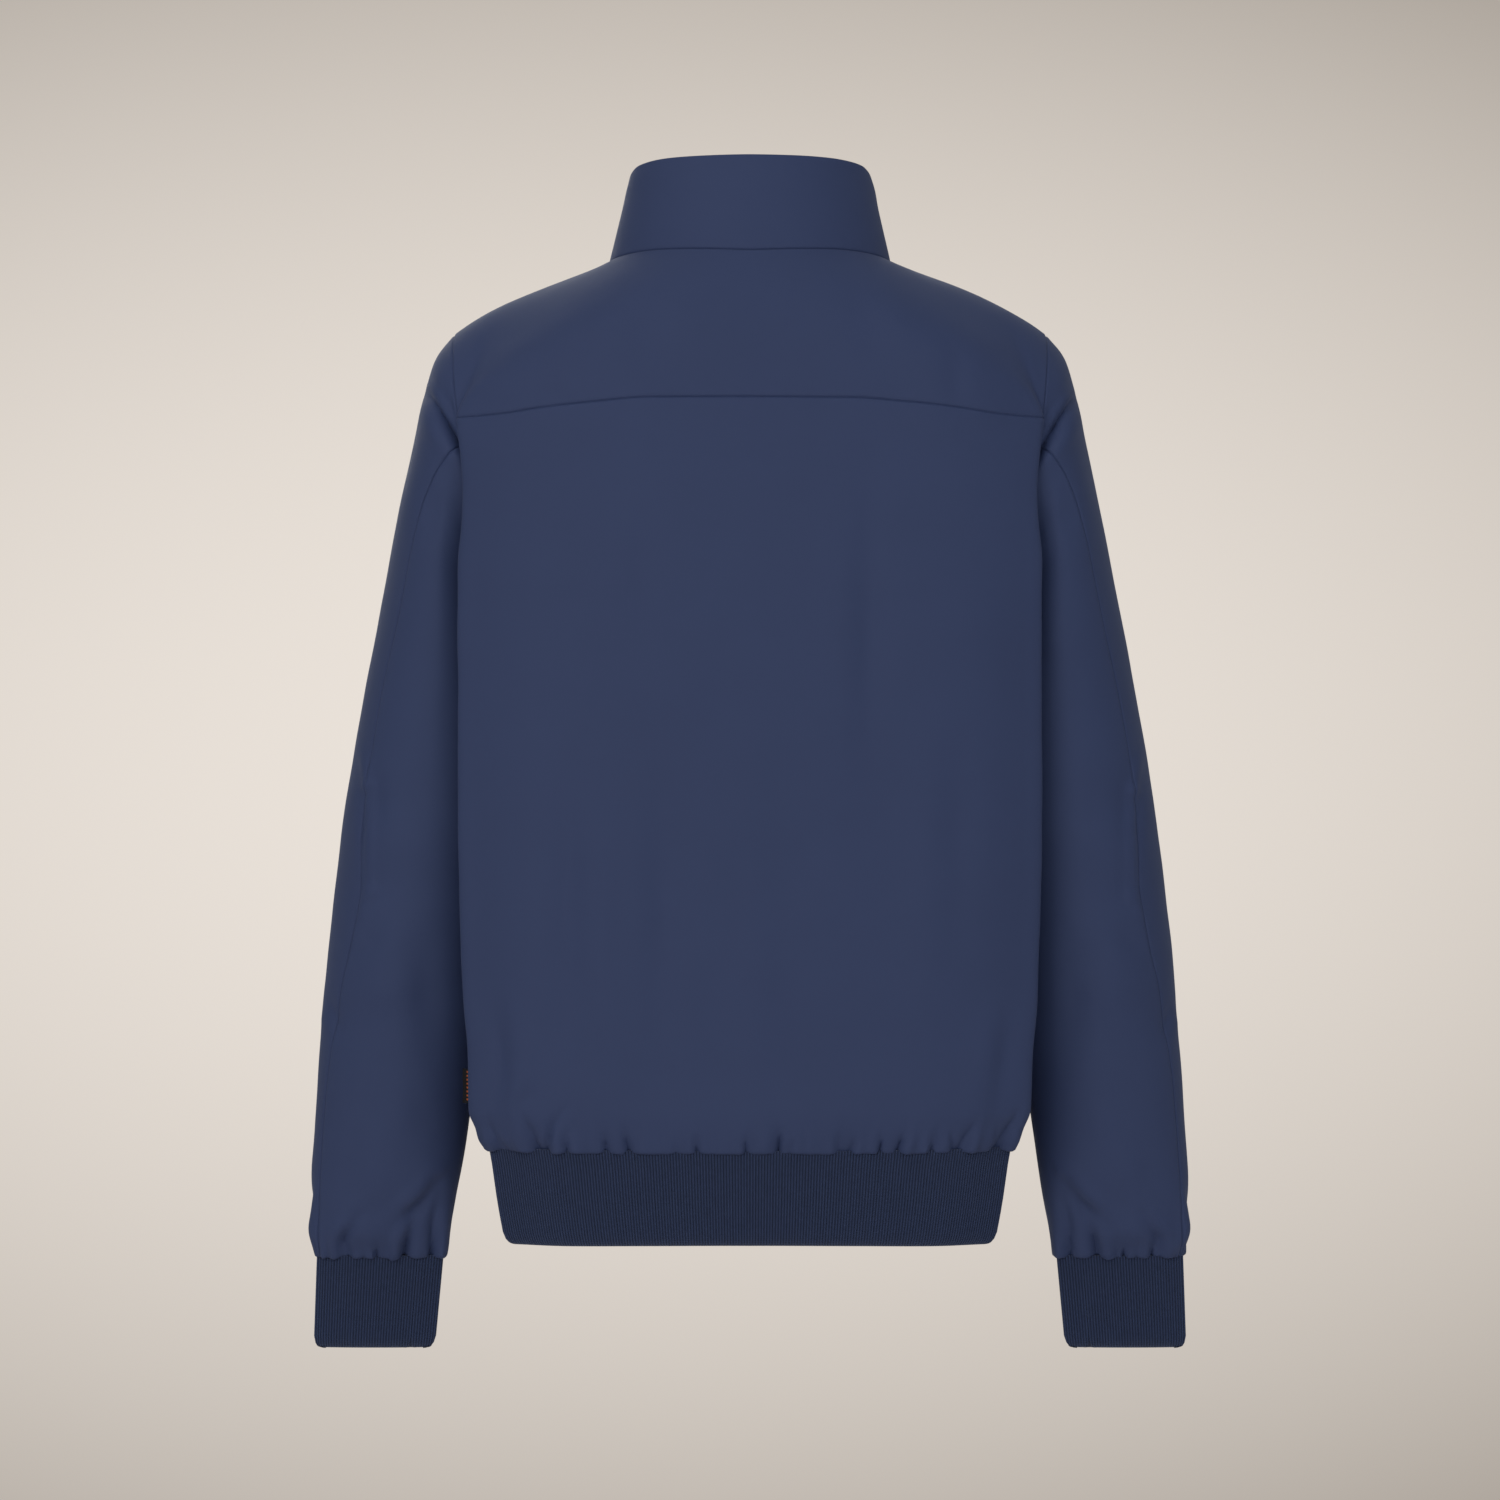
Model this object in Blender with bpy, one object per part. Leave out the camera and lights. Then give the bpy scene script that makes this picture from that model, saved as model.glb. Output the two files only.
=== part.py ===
"""A zip-front windbreaker, worn and filled out: hollow walls of cloth with open neck, cuffs and hem.

The front faces -Y and the wearer's left is +X. The origin is where the wearer's shoulders hold the
jacket up, in the middle of the neck, at the height of the highest points of the shoulder line.
Tables and working values are in millimetres; meshes are made in metres.
"""

import math
from collections import namedtuple

import bpy
import numpy as np
from mathutils import Vector

MM = 0.001

# Thicknesses and clearances.
SHELL_WALL = 1.6
COLLAR_WALL = 1.9
RIB_WALL = 1.9
RIB_HEIGHT = 0.5
RIB_PITCH = 2.0
SEAM_GAP = 0.34
UNDERARM_ROOM = 0.9
HEM_SEAM_GAP = 0.5

# Heights that the body's panels share.
HEM_BOTTOM = -674.0
HEM_SEAM = -610.0
ARMPIT = -228.0
YOKE_CORNER = -110.5
FRONT_EDGE = 5.5
CUFF_LENGTH = 64.0

# Angles round the armhole, in degrees from its top; the back is positive.
YOKE_BACK_ANGLE = 72.2
SLEEVE_BACK_ANGLE = 83.0
YOKE_FRONT_ANGLE = -42.8
SLEEVE_FRONT_ANGLE = -110.0
BACK_ANGLES = (180.0, 160.0, 140.0, 120.0, 100.0, SLEEVE_BACK_ANGLE, YOKE_BACK_ANGLE)
FRONT_ANGLES = (-180.0, -160.0, -140.0, -125.0, SLEEVE_FRONT_ANGLE)
CHEST_ANGLES = (SLEEVE_FRONT_ANGLE, -93.0, -76.0, -59.0, YOKE_FRONT_ANGLE)
YOKE_ANGLES = (YOKE_BACK_ANGLE, 57.0, 42.0, 28.0, 14.0, 0.0, -14.0, -28.0, YOKE_FRONT_ANGLE)

# The body's level sections, for one side: half width at the back corner (edge) and its depth (tip),
# depth of the back and of the front, the hollow where the arm lies, and the side under the arm.
Section = namedtuple("Section", "height edge tip back hollow_x hollow_y side front seam")
BODY_SECTIONS = (
    Section(-678, 165.5, 64, 98.0, 163, 40, 158, 106, 52),
    Section(-645, 171.6, 67, 101.0, 168, 41, 164, 109, 54),
    Section(-618, 175.5, 69, 103.0, 171, 42, 168, 111, 56),
    Section(-609, 177.0, 70, 104.0, 172, 42, 169, 112, 57),
    Section(-603, 181.9, 73, 106.0, 174, 43, 172, 115, 60),
    Section(-596, 184.8, 75, 108.0, 176, 44, 174, 118, 63),
    Section(-583, 190.4, 78, 110.0, 177, 46, 175, 122, 66),
    Section(-548, 191.5, 79, 111.0, 175, 48, 174, 125, 66),
    Section(-507, 195.2, 79, 111.5, 173, 50, 171, 127, 63),
    Section(-466, 196.5, 79, 112.0, 169, 51, 166, 129, 58),
    Section(-400, 198.0, 79, 112.0, 165, 54, 154, 130, 50),
    Section(-325, 198.0, 79, 112.0, 163, 55, 149, 130, 38),
    Section(-285, 198.0, 79, 112.0, 162, 56, 150, 130, 26),
    Section(-250, 198.0, 79, 111.5, 163, 56, 155, 129, 12),
    Section(-236, 198.0, 79, 111.0, 166, 54, 161, 129, 4),
    Section(-228, 198.0, 79, 111.0, 170, 50, 169.5, 128, 0),
    Section(-200, 197.5, 79, 110.0, 179, 50, 172.5, 127, 0),
    Section(-165, 197.0, 78, 109.0, 186, 58, 177, 125, 0),
    Section(-133, 196.8, 76, 107.0, 191, 62, 180, 120, 0),
    Section(-110, 199.0, 72, 105.0, 197, 60, 183, 114, 0),
    Section(-95, 201.0, 70, 103.5, 199, 58, 185, 110, 0),
)

# The seam of the back yoke and the seam of the hem, read across the back from its middle.
YokeSeam = namedtuple("YokeSeam", "across height")
YOKE_SEAM = (
    YokeSeam(0, -98.5),
    YokeSeam(70, -98.8),
    YokeSeam(105, -101.5),
    YokeSeam(140, -105.0),
    YokeSeam(170, -109.0),
    YokeSeam(200, YOKE_CORNER),
)

# The neck seam and the collar's top edge, by the angle from the centre back.
Neck = namedtuple("Neck", "angle height top")
NECK = (
    Neck(0, 4, 71.4),
    Neck(40, 6, 71.0),
    Neck(66, 4, 68.6),
    Neck(76, 2.5, 65.5),
    Neck(90, 0, 59),
    Neck(115, -12, 42),
    Neck(140, -32, 24),
    Neck(160, -48, 11),
    Neck(180, -57, 5),
)
NECK_HALF_WIDTH = 98.0
NECK_BACK_DEPTH = 74.0
NECK_FRONT_DEPTH = 76.0
COLLAR_HALF_WIDTH = 84.0
COLLAR_BACK_DEPTH = 60.0
COLLAR_FRONT_DEPTH = 82.0
NECK_CORNER_ANGLE = 117.0

# How the yoke runs out from the neck to its outer seam: the neck angle that each share of it starts
# from, the slope there in degrees, and the direction in which the cloth reaches the outer seam.
YokeLine = namedtuple("YokeLine", "share neck slope out_x out_y out_z")
YOKE_LINES = (
    YokeLine(0.00, 0, 53, 0.00, 0.07, -1.00),
    YokeLine(0.25, 26, 48, 0.03, 0.08, -1.00),
    YokeLine(0.45, 46, 42, 0.18, 0.12, -0.97),
    YokeLine(0.50, 51, 40, 0.28, 0.15, -0.94),
    YokeLine(0.65, 72, 28, 0.62, 0.22, -0.75),
    YokeLine(0.80, 90, 18, 0.80, 0.00, -0.60),
    YokeLine(1.00, 117, 26, 0.72, -0.25, -0.65),
)
YOKE_SEAM_SHARE = 0.5
YOKE_RIDGE_SHARE = 0.8

# Rings down the sleeve: outermost and innermost points, depths behind and before the arm's middle,
# how far the back stands out and the front goes in, how much the inner half is pinched in depth, and
# the angle of the back seam.
Ring = namedtuple("Ring", "outer_x outer_z inner_x inner_z back front back_out front_in pinch seam")
SLEEVE_RINGS = (
    Ring(206.0, -48, 170.0, -228, 70, 60, 7, 10, 0.00, 83),
    Ring(218.8, -64.4, 170.0, -236, 69, 63, 9, 5, 0.12, 77),
    Ring(227.2, -92.4, 168.5, -243, 68, 66, 11, 1, 0.18, 71),
    Ring(234.9, -127.4, 166.5, -252, 66, 69, 11, -1, 0.20, 65),
    Ring(246.0, -180, 163.5, -268, 64, 72, 8, -1, 0.20, 58),
    Ring(256.2, -232.4, 161.5, -287, 62, 74, 4, 0, 0.18, 51),
    Ring(269.2, -302.4, 160.0, -327, 59, 74, 1, 0, 0.12, 43),
    Ring(281.1, -372, 163.0, -380, 57, 71, 0, 0, 0.06, 42),
    Ring(290.2, -442, 171.5, -442, 53, 67, 0, 0, 0.03, 49),
    Ring(297.2, -512, 182.5, -512, 46, 63, 0, 0, 0.00, 39),
    Ring(302.1, -582, 195.5, -582, 38, 58, 0, 0, 0.00, 31),
    Ring(305.2, -636, 203.9, -636, 31, 54, 0, 0, 0.00, 29),
    Ring(305.9, -668, 209.5, -668, 22, 52, 0, 0, 0.00, 28),
    Ring(302.6, -691.5, 215.0, -691.5, 8, 48, 0, 0, 0.00, 25),
)
SLEEVE_ROWS = (0, 0.6, 1.3, 2.1, 3.0, 4.0, 5.0, 6.0, 6.8, 7.4, 8.0, 8.8, 9.8, 10.8, 11.6, 12.3, 13.0)
CUFF_TOP = Ring(302.4, -692, 215.6, -692, 8, 48, 0, 0, 0, 25)
CUFF_FOOT = Ring(304.6, -692 - CUFF_LENGTH, 221.6, -692 - CUFF_LENGTH, 5, 49, 0, 0, 0, 25)

# The largest folds: soft swells and hollows, by height and by the place round the piece.
Fold = namedtuple("Fold", "place height reach_round reach_high depth")
SLEEVE_FOLDS = (
    Fold(66, -372, 26, 14, -3.0),
    Fold(62, -402, 26, 13, 3.2),
    Fold(66, -432, 28, 14, -3.4),
    Fold(60, -461, 26, 14, 2.2),
    Fold(40, -525, 26, 13, -2.4),
    Fold(75, -500, 30, 18, 1.6),
    Fold(-60, -405, 36, 22, -3.0),
    Fold(-60, -445, 36, 20, 2.4),
    Fold(-75, -500, 32, 18, -2.2),
    Fold(150, -420, 34, 18, -1.6),
    Fold(110, -655, 26, 12, -2.2),
    Fold(75, -672, 20, 9, 1.8),
    Fold(-70, -662, 30, 11, -2.0),
    Fold(20, -674, 22, 8, 1.2),
)
BACK_FOLDS = (
    Fold(124, -455, 14, 110, -2.0),
    Fold(101, -470, 13, 90, 1.6),
    Fold(62, -460, 13, 120, -1.8),
    Fold(-4, -500, 16, 90, 1.6),
    Fold(-81, -270, 13, 110, -1.8),
    Fold(-118, -440, 15, 110, 1.6),
    Fold(134, -205, 14, 55, 1.6),
)
FRONT_FOLDS = (
    Fold(95, -440, 16, 110, -2.4),
    Fold(60, -470, 15, 90, 1.8),
    Fold(120, -330, 16, 90, 1.8),
    Fold(35, -300, 14, 90, -1.6),
)
GATHER_DEPTH = 1.3
GATHER_HEIGHT = 22.0

# Sizes of the grids.
BACK_COLUMNS = 20
BACK_LOWER_ROWS = (-604.0, -594.0, -578.0, -540.0, -460.0, -370.0, -290.0, -256.0, -238.0)
FRONT_YOKE_COLUMNS = 8
FRONT_NECK_COLUMNS = 8
YOKE_ROWS = 4
COLLAR_ROWS = 3
RIBS_TO_A_PLAIN_COLUMN = 4

# How close two edges are to share a mitre, the steepest mitre that a wall takes, and how far two
# faces that look at each other part along their normals.
SEAM_REACH = 1.5
STEEPEST_MITRE = 0.8
FACING_SHARE = 2.0

# How much shorter the other diagonal of a cell is before the cell is cut along it.
DIAGONAL_TIE = 0.5

# A panel's outer face as a grid of points, the gap that it keeps to a rib at its foot, and its wall.
Panel = namedtuple("Panel", "name grid foot_gap thickness look")

# The zip: half widths, and depths under the outer face of the cloth.
TAPE_INNER = 2.5
TAPE_OUTER = 13.0
TAPE_DEPTHS = (2.3, 3.3)
TAPE_SINK = 1.2
CHAIN_HALF_WIDTH = 2.15
CHAIN_DEPTHS = (1.3, 3.3)
ZIP_BOX_LENGTH = 9.0
ZIP_BOX_HALF_WIDTH = 4.4
ZIP_BOX_DEPTHS = (0.9, 4.3)
SLIDER_LENGTH = 10.0
SLIDER_HALF_WIDTH = 4.2
SLIDER_WAIST = 2.1
SLIDER_PLATE = 1.2
SLIDER_TOP_DEPTH = 1.8
SLIDER_FOOT_DEPTH = 3.65
SLIDER_BELOW_EDGE = 3.0
PIVOT_RISE = 1.2
ARCH_INNER = 2.0
ARCH_BAR = 1.0
ARCH_HALF_WIDTH = 0.9
PULL_BAR = 0.6
PULL_HALF_THICK = 0.5
PULL_SLOT_HALF = 1.5
PULL_SLOT_END = 4.5
PULL_RING_HALF = 2.9
PULL_GRIP_HALF = 3.3
PULL_LENGTH = 25.0

# The label folded into the wearer's left side seam.
LABEL_TOP = -556.0
LABEL_HEIGHT = 24.0
LABEL_REACH = 12.0
LABEL_THICKNESS = 1.0
LABEL_DIRECTION = (0.55, -0.83)

NAVY = (51, 61, 90)
NAVY_YOKE = (50, 61, 88)
RIB_NAVY = (39, 47, 69)
BLACK = (24, 24, 28)
ZIP_NAVY = (36, 44, 66)
GUNMETAL = (70, 74, 84)


def hermite(start, end, start_pull, end_pull, share):
    """A cubic from start to end that leaves and arrives along the two pulls."""
    square = share * share
    cube = square * share
    return (
        start * (2 * cube - 3 * square + 1)
        + end * (3 * square - 2 * cube)
        + start_pull * (cube - 2 * square + share)
        + end_pull * (cube - square)
    )


def through(at, knots, values):
    """Read a smooth curve through the knots that never passes beyond its own values."""
    at = np.clip(np.asarray(at, float), knots[0], knots[-1])
    knots = np.asarray(knots, float)
    values = np.asarray(values, float)
    step = np.diff(knots)
    slope = np.diff(values) / step
    before, after = slope[:-1], slope[1:]
    same_way = before * after > 0
    weight_before = 2 * step[1:] + step[:-1]
    weight_after = step[1:] + 2 * step[:-1]
    middle = np.zeros(len(before))
    middle[same_way] = (weight_before + weight_after)[same_way] / (
        weight_before[same_way] / before[same_way] + weight_after[same_way] / after[same_way]
    )
    pull = np.concatenate(([slope[0]], middle, [slope[-1]]))
    k = np.clip(np.searchsorted(knots, at, side="right") - 1, 0, len(step) - 1)
    share = (at - knots[k]) / step[k]
    return hermite(values[k], values[k + 1], pull[k] * step[k], pull[k + 1] * step[k], share)


def read(table, key, column, at):
    """Read one named column of a table at values of its key column."""
    knots = [getattr(row, key) for row in table]
    values = [getattr(row, column) for row in table]
    return through(at, knots, values)


def along(points, share):
    """Points at shares 0 to 1 along smooth curves; points is (..., count, axes), share is (...)."""
    chord = np.sqrt(np.linalg.norm(np.diff(points, axis=-2), axis=-1))[..., None]
    rise = np.diff(points, axis=-2) / chord
    middle = (rise[..., :-1, :] * chord[..., 1:, :] + rise[..., 1:, :] * chord[..., :-1, :]) / (
        chord[..., 1:, :] + chord[..., :-1, :]
    )
    pull = np.concatenate((rise[..., :1, :], middle, rise[..., -1:, :]), axis=-2)
    knots = np.concatenate((np.zeros_like(chord[..., :1, 0]), np.cumsum(chord[..., 0], axis=-1)), axis=-1)
    at = share * knots[..., -1]
    k = np.sum(knots[..., 1:-1] <= at[..., None], axis=-1)[..., None]
    here = np.take_along_axis(knots, k, axis=-1)
    step = np.take_along_axis(knots, k + 1, axis=-1) - here
    local = (at[..., None] - here) / step
    k = k[..., None]
    start = np.take_along_axis(points, k, axis=-2)[..., 0, :]
    end = np.take_along_axis(points, k + 1, axis=-2)[..., 0, :]
    start_pull = np.take_along_axis(pull, k, axis=-2)[..., 0, :] * step
    end_pull = np.take_along_axis(pull, k + 1, axis=-2)[..., 0, :] * step
    return hermite(start, end, start_pull, end_pull, local)


def body_outline(height):
    """The points that a level section of the left half passes through, from centre back to front."""
    column = {name: read(BODY_SECTIONS, "height", name, height) for name in Section._fields[1:]}
    edge, tip, back = column["edge"], column["tip"], column["back"]
    hollow_x, hollow_y, side, front = (column[name] for name in ("hollow_x", "hollow_y", "side", "front"))
    points = (
        (0 * edge, back),
        (0.42 * edge, back - 2),
        (0.76 * edge, back - 10),
        (0.93 * edge, tip + 9),
        (edge, tip),
        (edge - 0.2 * (edge - hollow_x), tip - 0.45 * (tip - hollow_y)),
        (hollow_x, hollow_y),
        (side + 0.35 * (hollow_x - side), 0 * edge + 18),
        (side, 0 * edge - 14),
        (side - 1, 0 * edge - 48),
        (side - 14, -0.68 * front),
        (0.70 * side, -0.90 * front),
        (0.36 * side, -0.985 * front),
        (0 * edge, -front),
    )
    return np.stack([np.stack(point, axis=-1) for point in points], axis=-2)


def body_point(height, share):
    """A point on the body's outer face, from centre back (0) to centre front (1)."""
    height = np.asarray(height, float) + 0 * np.asarray(share, float)
    flat = along(body_outline(height), share + 0 * height)
    return np.concatenate((flat, height[..., None]), axis=-1)


def share_where(height, axis, value, low, high):
    """The share at which the section falls through a value of x or y, between two shares."""
    low = low + 0 * height
    high = high + 0 * height
    for _ in range(34):
        middle = 0.5 * (low + high)
        beyond = body_point(height, middle)[..., axis] < value
        high = np.where(beyond, middle, high)
        low = np.where(beyond, low, middle)
    return 0.5 * (low + high)


def sleeve_point(ring, angle):
    """A point on the left sleeve's outer face, by ring number and by angle in degrees from outside."""
    index = np.arange(len(SLEEVE_RINGS))
    column = {name: through(ring, index, [getattr(row, name) for row in SLEEVE_RINGS]) for name in Ring._fields}
    return ring_point(column, angle)


def ring_point(column, angle):
    """A point on one ring, from its named sizes."""
    cos = np.cos(np.radians(angle))
    sin = np.sin(np.radians(angle))
    middle_x = 0.5 * (column["outer_x"] + column["inner_x"])
    middle_z = 0.5 * (column["outer_z"] + column["inner_z"])
    reach = np.where(sin > 0, column["back_out"], -column["front_in"]) * sin * sin
    x = middle_x + 0.5 * (column["outer_x"] - column["inner_x"]) * cos + reach
    z = middle_z + 0.5 * (column["outer_z"] - column["inner_z"]) * cos
    inner_half = np.clip(-cos, 0, 1)
    y = np.where(sin > 0, column["back"], column["front"]) * sin * (1 - column["pinch"] * inner_half)
    return np.stack((x, y, z), axis=-1)


def armhole(angle):
    """A point on the armhole seam, by its angle from the shoulder point."""
    angle = np.asarray(angle, float)
    return sleeve_point(0 * angle, angle)


def armhole_angle(height):
    """The angle at which the armhole seam passes a height."""
    top = SLEEVE_RINGS[0].outer_z
    foot = SLEEVE_RINGS[0].inner_z
    cos = (2 * np.asarray(height, float) - top - foot) / (top - foot)
    return np.degrees(np.arccos(np.clip(cos, -1, 1)))


def seam_share(height, side):
    """Where the back (side 1) or the front (side -1) ends on a section: side seam or armhole."""
    under_arm = read(BODY_SECTIONS, "height", "seam", height)
    edge_y = np.where(height < ARMPIT, under_arm, armhole(side * armhole_angle(height))[..., 1])
    return share_where(height, 1, edge_y, 0.02, 0.98)


def back_panel_point(height, across):
    """A point on the back, by height and by share from the middle (0) to its outer edge (1)."""
    end = seam_share(height, 1)
    point = body_point(height, across * end)
    miss = armhole(armhole_angle(height)) - body_point(height, end)
    weight = np.where(height >= ARMPIT, np.abs(across) ** 6, 0.0)
    return point + miss * weight[..., None]


def front_panel_point(height, across):
    """A point on the front, by height and by share from the side (0) to the zip (1)."""
    start = seam_share(height, -1)
    end = share_where(height, 0, FRONT_EDGE, 0.8, 1.0)
    point = body_point(height, start + across * (end - start))
    miss = armhole(-armhole_angle(height)) - body_point(height, start)
    weight = np.where(height >= ARMPIT, (1 - across) ** 6, 0.0)
    return point + miss * weight[..., None]


def neck_point(angle):
    """A point on the neck seam, by its angle from the centre back."""
    turn = np.radians(angle)
    depth = np.where(np.cos(turn) > 0, NECK_BACK_DEPTH, NECK_FRONT_DEPTH)
    return np.stack(
        (NECK_HALF_WIDTH * np.sin(turn), depth * np.cos(turn), read(NECK, "angle", "height", angle)), axis=-1
    )


def collar_point(angle, share):
    """A point on the collar, by angle and by share from the neck seam to the top edge."""
    turn = np.radians(angle)
    depth = np.where(np.cos(turn) > 0, COLLAR_BACK_DEPTH, COLLAR_FRONT_DEPTH)
    top = np.stack(
        (COLLAR_HALF_WIDTH * np.sin(turn), depth * np.cos(turn), read(NECK, "angle", "top", angle)), axis=-1
    )
    return neck_point(angle) + (top - neck_point(angle)) * np.asarray(share)[..., None]


def front_neck_angle():
    """The neck angle at which the zip's edge stands."""
    return 180.0 - math.degrees(math.asin(FRONT_EDGE / NECK_HALF_WIDTH))


def unit(vectors):
    """Vectors of length one."""
    return vectors / np.linalg.norm(vectors, axis=-1, keepdims=True)


def yoke_outer(share):
    """The yoke's outer seam: across the back to the armhole, then over the shoulder to the front."""
    share = np.asarray(share, float)
    across = np.clip(share / YOKE_SEAM_SHARE, 0, 1)
    height = YOKE_CORNER + 0 * across
    for _ in range(3):
        height = read(YOKE_SEAM, "across", "height", back_panel_point(height, across)[..., 0])
    seam = back_panel_point(height, across)
    angle = through(
        share, (YOKE_SEAM_SHARE, YOKE_RIDGE_SHARE, 1.0), (YOKE_BACK_ANGLE, 0.0, YOKE_FRONT_ANGLE)
    )
    return np.where((share <= YOKE_SEAM_SHARE)[..., None], seam, armhole(angle))


def yoke_share(angle):
    """The share of the yoke's outer seam that reaches an armhole angle."""
    low = np.full(np.shape(angle), YOKE_SEAM_SHARE)
    high = np.full(np.shape(angle), 1.0)
    knots = (YOKE_SEAM_SHARE, YOKE_RIDGE_SHARE, 1.0)
    angles = (YOKE_BACK_ANGLE, 0.0, YOKE_FRONT_ANGLE)
    for _ in range(34):
        middle = 0.5 * (low + high)
        beyond = through(middle, knots, angles) < angle
        high = np.where(beyond, middle, high)
        low = np.where(beyond, low, middle)
    return 0.5 * (low + high)


def yoke_point(share, down):
    """A point on the yoke, by share along it and by share down from the neck to the outer seam."""
    neck_angle = read(YOKE_LINES, "share", "neck", share)
    slope = np.radians(read(YOKE_LINES, "share", "slope", share))
    turn = np.radians(neck_angle)
    start = neck_point(neck_angle)
    end = yoke_outer(share)
    leave = np.stack((np.sin(turn) * np.cos(slope), np.cos(turn) * np.cos(slope), -np.sin(slope)), axis=-1)
    arrive = unit(np.stack([read(YOKE_LINES, "share", name, share) for name in YokeLine._fields[3:]], axis=-1))
    length = np.linalg.norm(end - start, axis=-1, keepdims=True)
    return hermite(start, end, leave * length, arrive * length, np.asarray(down)[..., None])


def front_top(across):
    """The top edge of a front: along the yoke's front seam to the neck, then round to the zip."""
    corner = FRONT_YOKE_COLUMNS / (FRONT_YOKE_COLUMNS + FRONT_NECK_COLUMNS)
    down = 1 - np.clip(across / corner, 0, 1)
    row = np.clip(np.floor(down * YOKE_ROWS), 0, YOKE_ROWS - 1)
    low = yoke_point(1.0 + 0 * across, row / YOKE_ROWS)
    high = yoke_point(1.0 + 0 * across, (row + 1) / YOKE_ROWS)
    on_yoke = low + (high - low) * (down * YOKE_ROWS - row)[..., None]
    turned = NECK_CORNER_ANGLE + (front_neck_angle() - NECK_CORNER_ANGLE) * np.clip(
        (across - corner) / (1 - corner), 0, 1
    )
    return np.where((across <= corner)[..., None], on_yoke, neck_point(turned))


def chest_point(up, across):
    """A point on the upper front, by share up from the chest line and across from armhole to zip."""
    corner = FRONT_YOKE_COLUMNS / (FRONT_YOKE_COLUMNS + FRONT_NECK_COLUMNS)
    chest = armhole(SLEEVE_FRONT_ANGLE)[2] + 0 * across
    start = front_panel_point(chest, across)
    leave = unit(front_panel_point(chest, across) - front_panel_point(chest - 4.0, across))
    end = front_top(across)
    down = 1 - np.clip(across / corner, 0, 1)
    over = unit(yoke_point(0.96 + 0 * across, down) - yoke_point(1.0 + 0 * across, down))
    middle = unit(np.array((0.0, 0.55, 0.83)))
    share = np.clip((across - corner) / (1 - corner), 0, 1)[..., None]
    arrive = unit(over + (middle - over) * share ** 0.6)
    length = np.linalg.norm(end - start, axis=-1, keepdims=True)
    point = hermite(start, end, leave * length, arrive * length, up[..., None])
    angle = SLEEVE_FRONT_ANGLE + (YOKE_FRONT_ANGLE - SLEEVE_FRONT_ANGLE) * up
    edge_start = front_panel_point(chest, 0 * across)
    edge_end = front_top(0 * across)
    edge_leave = unit(edge_start - front_panel_point(chest - 4.0, 0 * across))
    edge_over = unit(yoke_point(0.96 + 0 * across, 1 + 0 * across) - yoke_point(1.0 + 0 * across, 1 + 0 * across))
    edge_length = np.linalg.norm(edge_end - edge_start, axis=-1, keepdims=True)
    edge = hermite(edge_start, edge_end, edge_leave * edge_length, edge_over * edge_length, up[..., None])
    return point + (armhole(angle) - edge) * ((1 - across) ** 4)[..., None]


def normals(grid):
    """Outward directions on a grid whose rows run up and whose columns run to the outer face's right."""
    return unit(np.cross(np.gradient(grid, axis=1), np.gradient(grid, axis=0)))


def folded(grid, folds, place):
    """Push a grid's inner points by the folds; place holds each point's place round the piece."""
    push = np.zeros(grid.shape[:2])
    for fold in folds:
        round_part = (place - fold.place) / fold.reach_round
        high_part = (grid[..., 2] - fold.height) / fold.reach_high
        push += fold.depth * np.exp(-(round_part ** 2) - high_part ** 2)
    push.flat[border(*push.shape)] = 0.0
    return grid + normals(grid) * push[..., None]


def gathered(grid):
    """Draw alternate columns in above the hem seam, unevenly, as the rib takes up the cloth."""
    columns = np.arange(grid.shape[1])
    uneven = 0.65 + 0.35 * np.sin(columns * 2.3 + 0.8)
    wave = np.where(columns % 2 == 0, -1.0, 1.0) * uneven
    wave[[0, -1]] = 0.0
    rise = (grid[..., 2] - HEM_SEAM) / GATHER_HEIGHT
    push = GATHER_DEPTH * wave[None, :] * np.exp(-rise ** 2) * np.clip(rise * 4, 0, 1)
    return grid + normals(grid) * push[..., None]


def mirrored(grid):
    """The same grid on the wearer's right, with its columns in the outer face's order."""
    return grid[:, ::-1] * np.array((-1.0, 1.0, 1.0))


def mirrored_ring(grid):
    """A closed ring's grid on the wearer's right, still starting at its first column."""
    return np.roll(mirrored(grid), 1, axis=1)


def material(name, colour, roughness, metallic):
    """A Principled material from a colour in sRGB bytes."""
    made = bpy.data.materials.new(name)
    made.use_nodes = True
    linear = [((value / 255 + 0.055) / 1.055) ** 2.4 for value in colour]
    shader = made.node_tree.nodes["Principled BSDF"]
    shader.inputs["Base Color"].default_value = (*linear, 1.0)
    shader.inputs["Roughness"].default_value = roughness
    shader.inputs["Metallic"].default_value = metallic
    return made


def solid(name, points, faces, look, smooth=True, pivot=(0.0, 0.0, 0.0)):
    """Make one named object from points in millimetres; its origin is the pivot."""
    mesh = bpy.data.meshes.new(name)
    places = (np.asarray(points, float) - np.asarray(pivot, float)) * MM
    mesh.from_pydata([tuple(place) for place in places], [], faces)
    mesh.validate()
    mesh.materials.append(look)
    if smooth:
        mesh.shade_smooth()
        mesh.set_sharp_from_angle(angle=math.radians(50))
    made = bpy.data.objects.new(name, mesh)
    made.location = Vector(pivot) * MM
    bpy.context.collection.objects.link(made)
    return made


def border(rows, columns):
    """The indices round a grid, anticlockwise from its first point."""
    index = np.arange(rows * columns).reshape(rows, columns)
    return np.concatenate((index[0, :-1], index[:-1, -1], index[-1, :0:-1], index[:0:-1, 0]))


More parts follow.
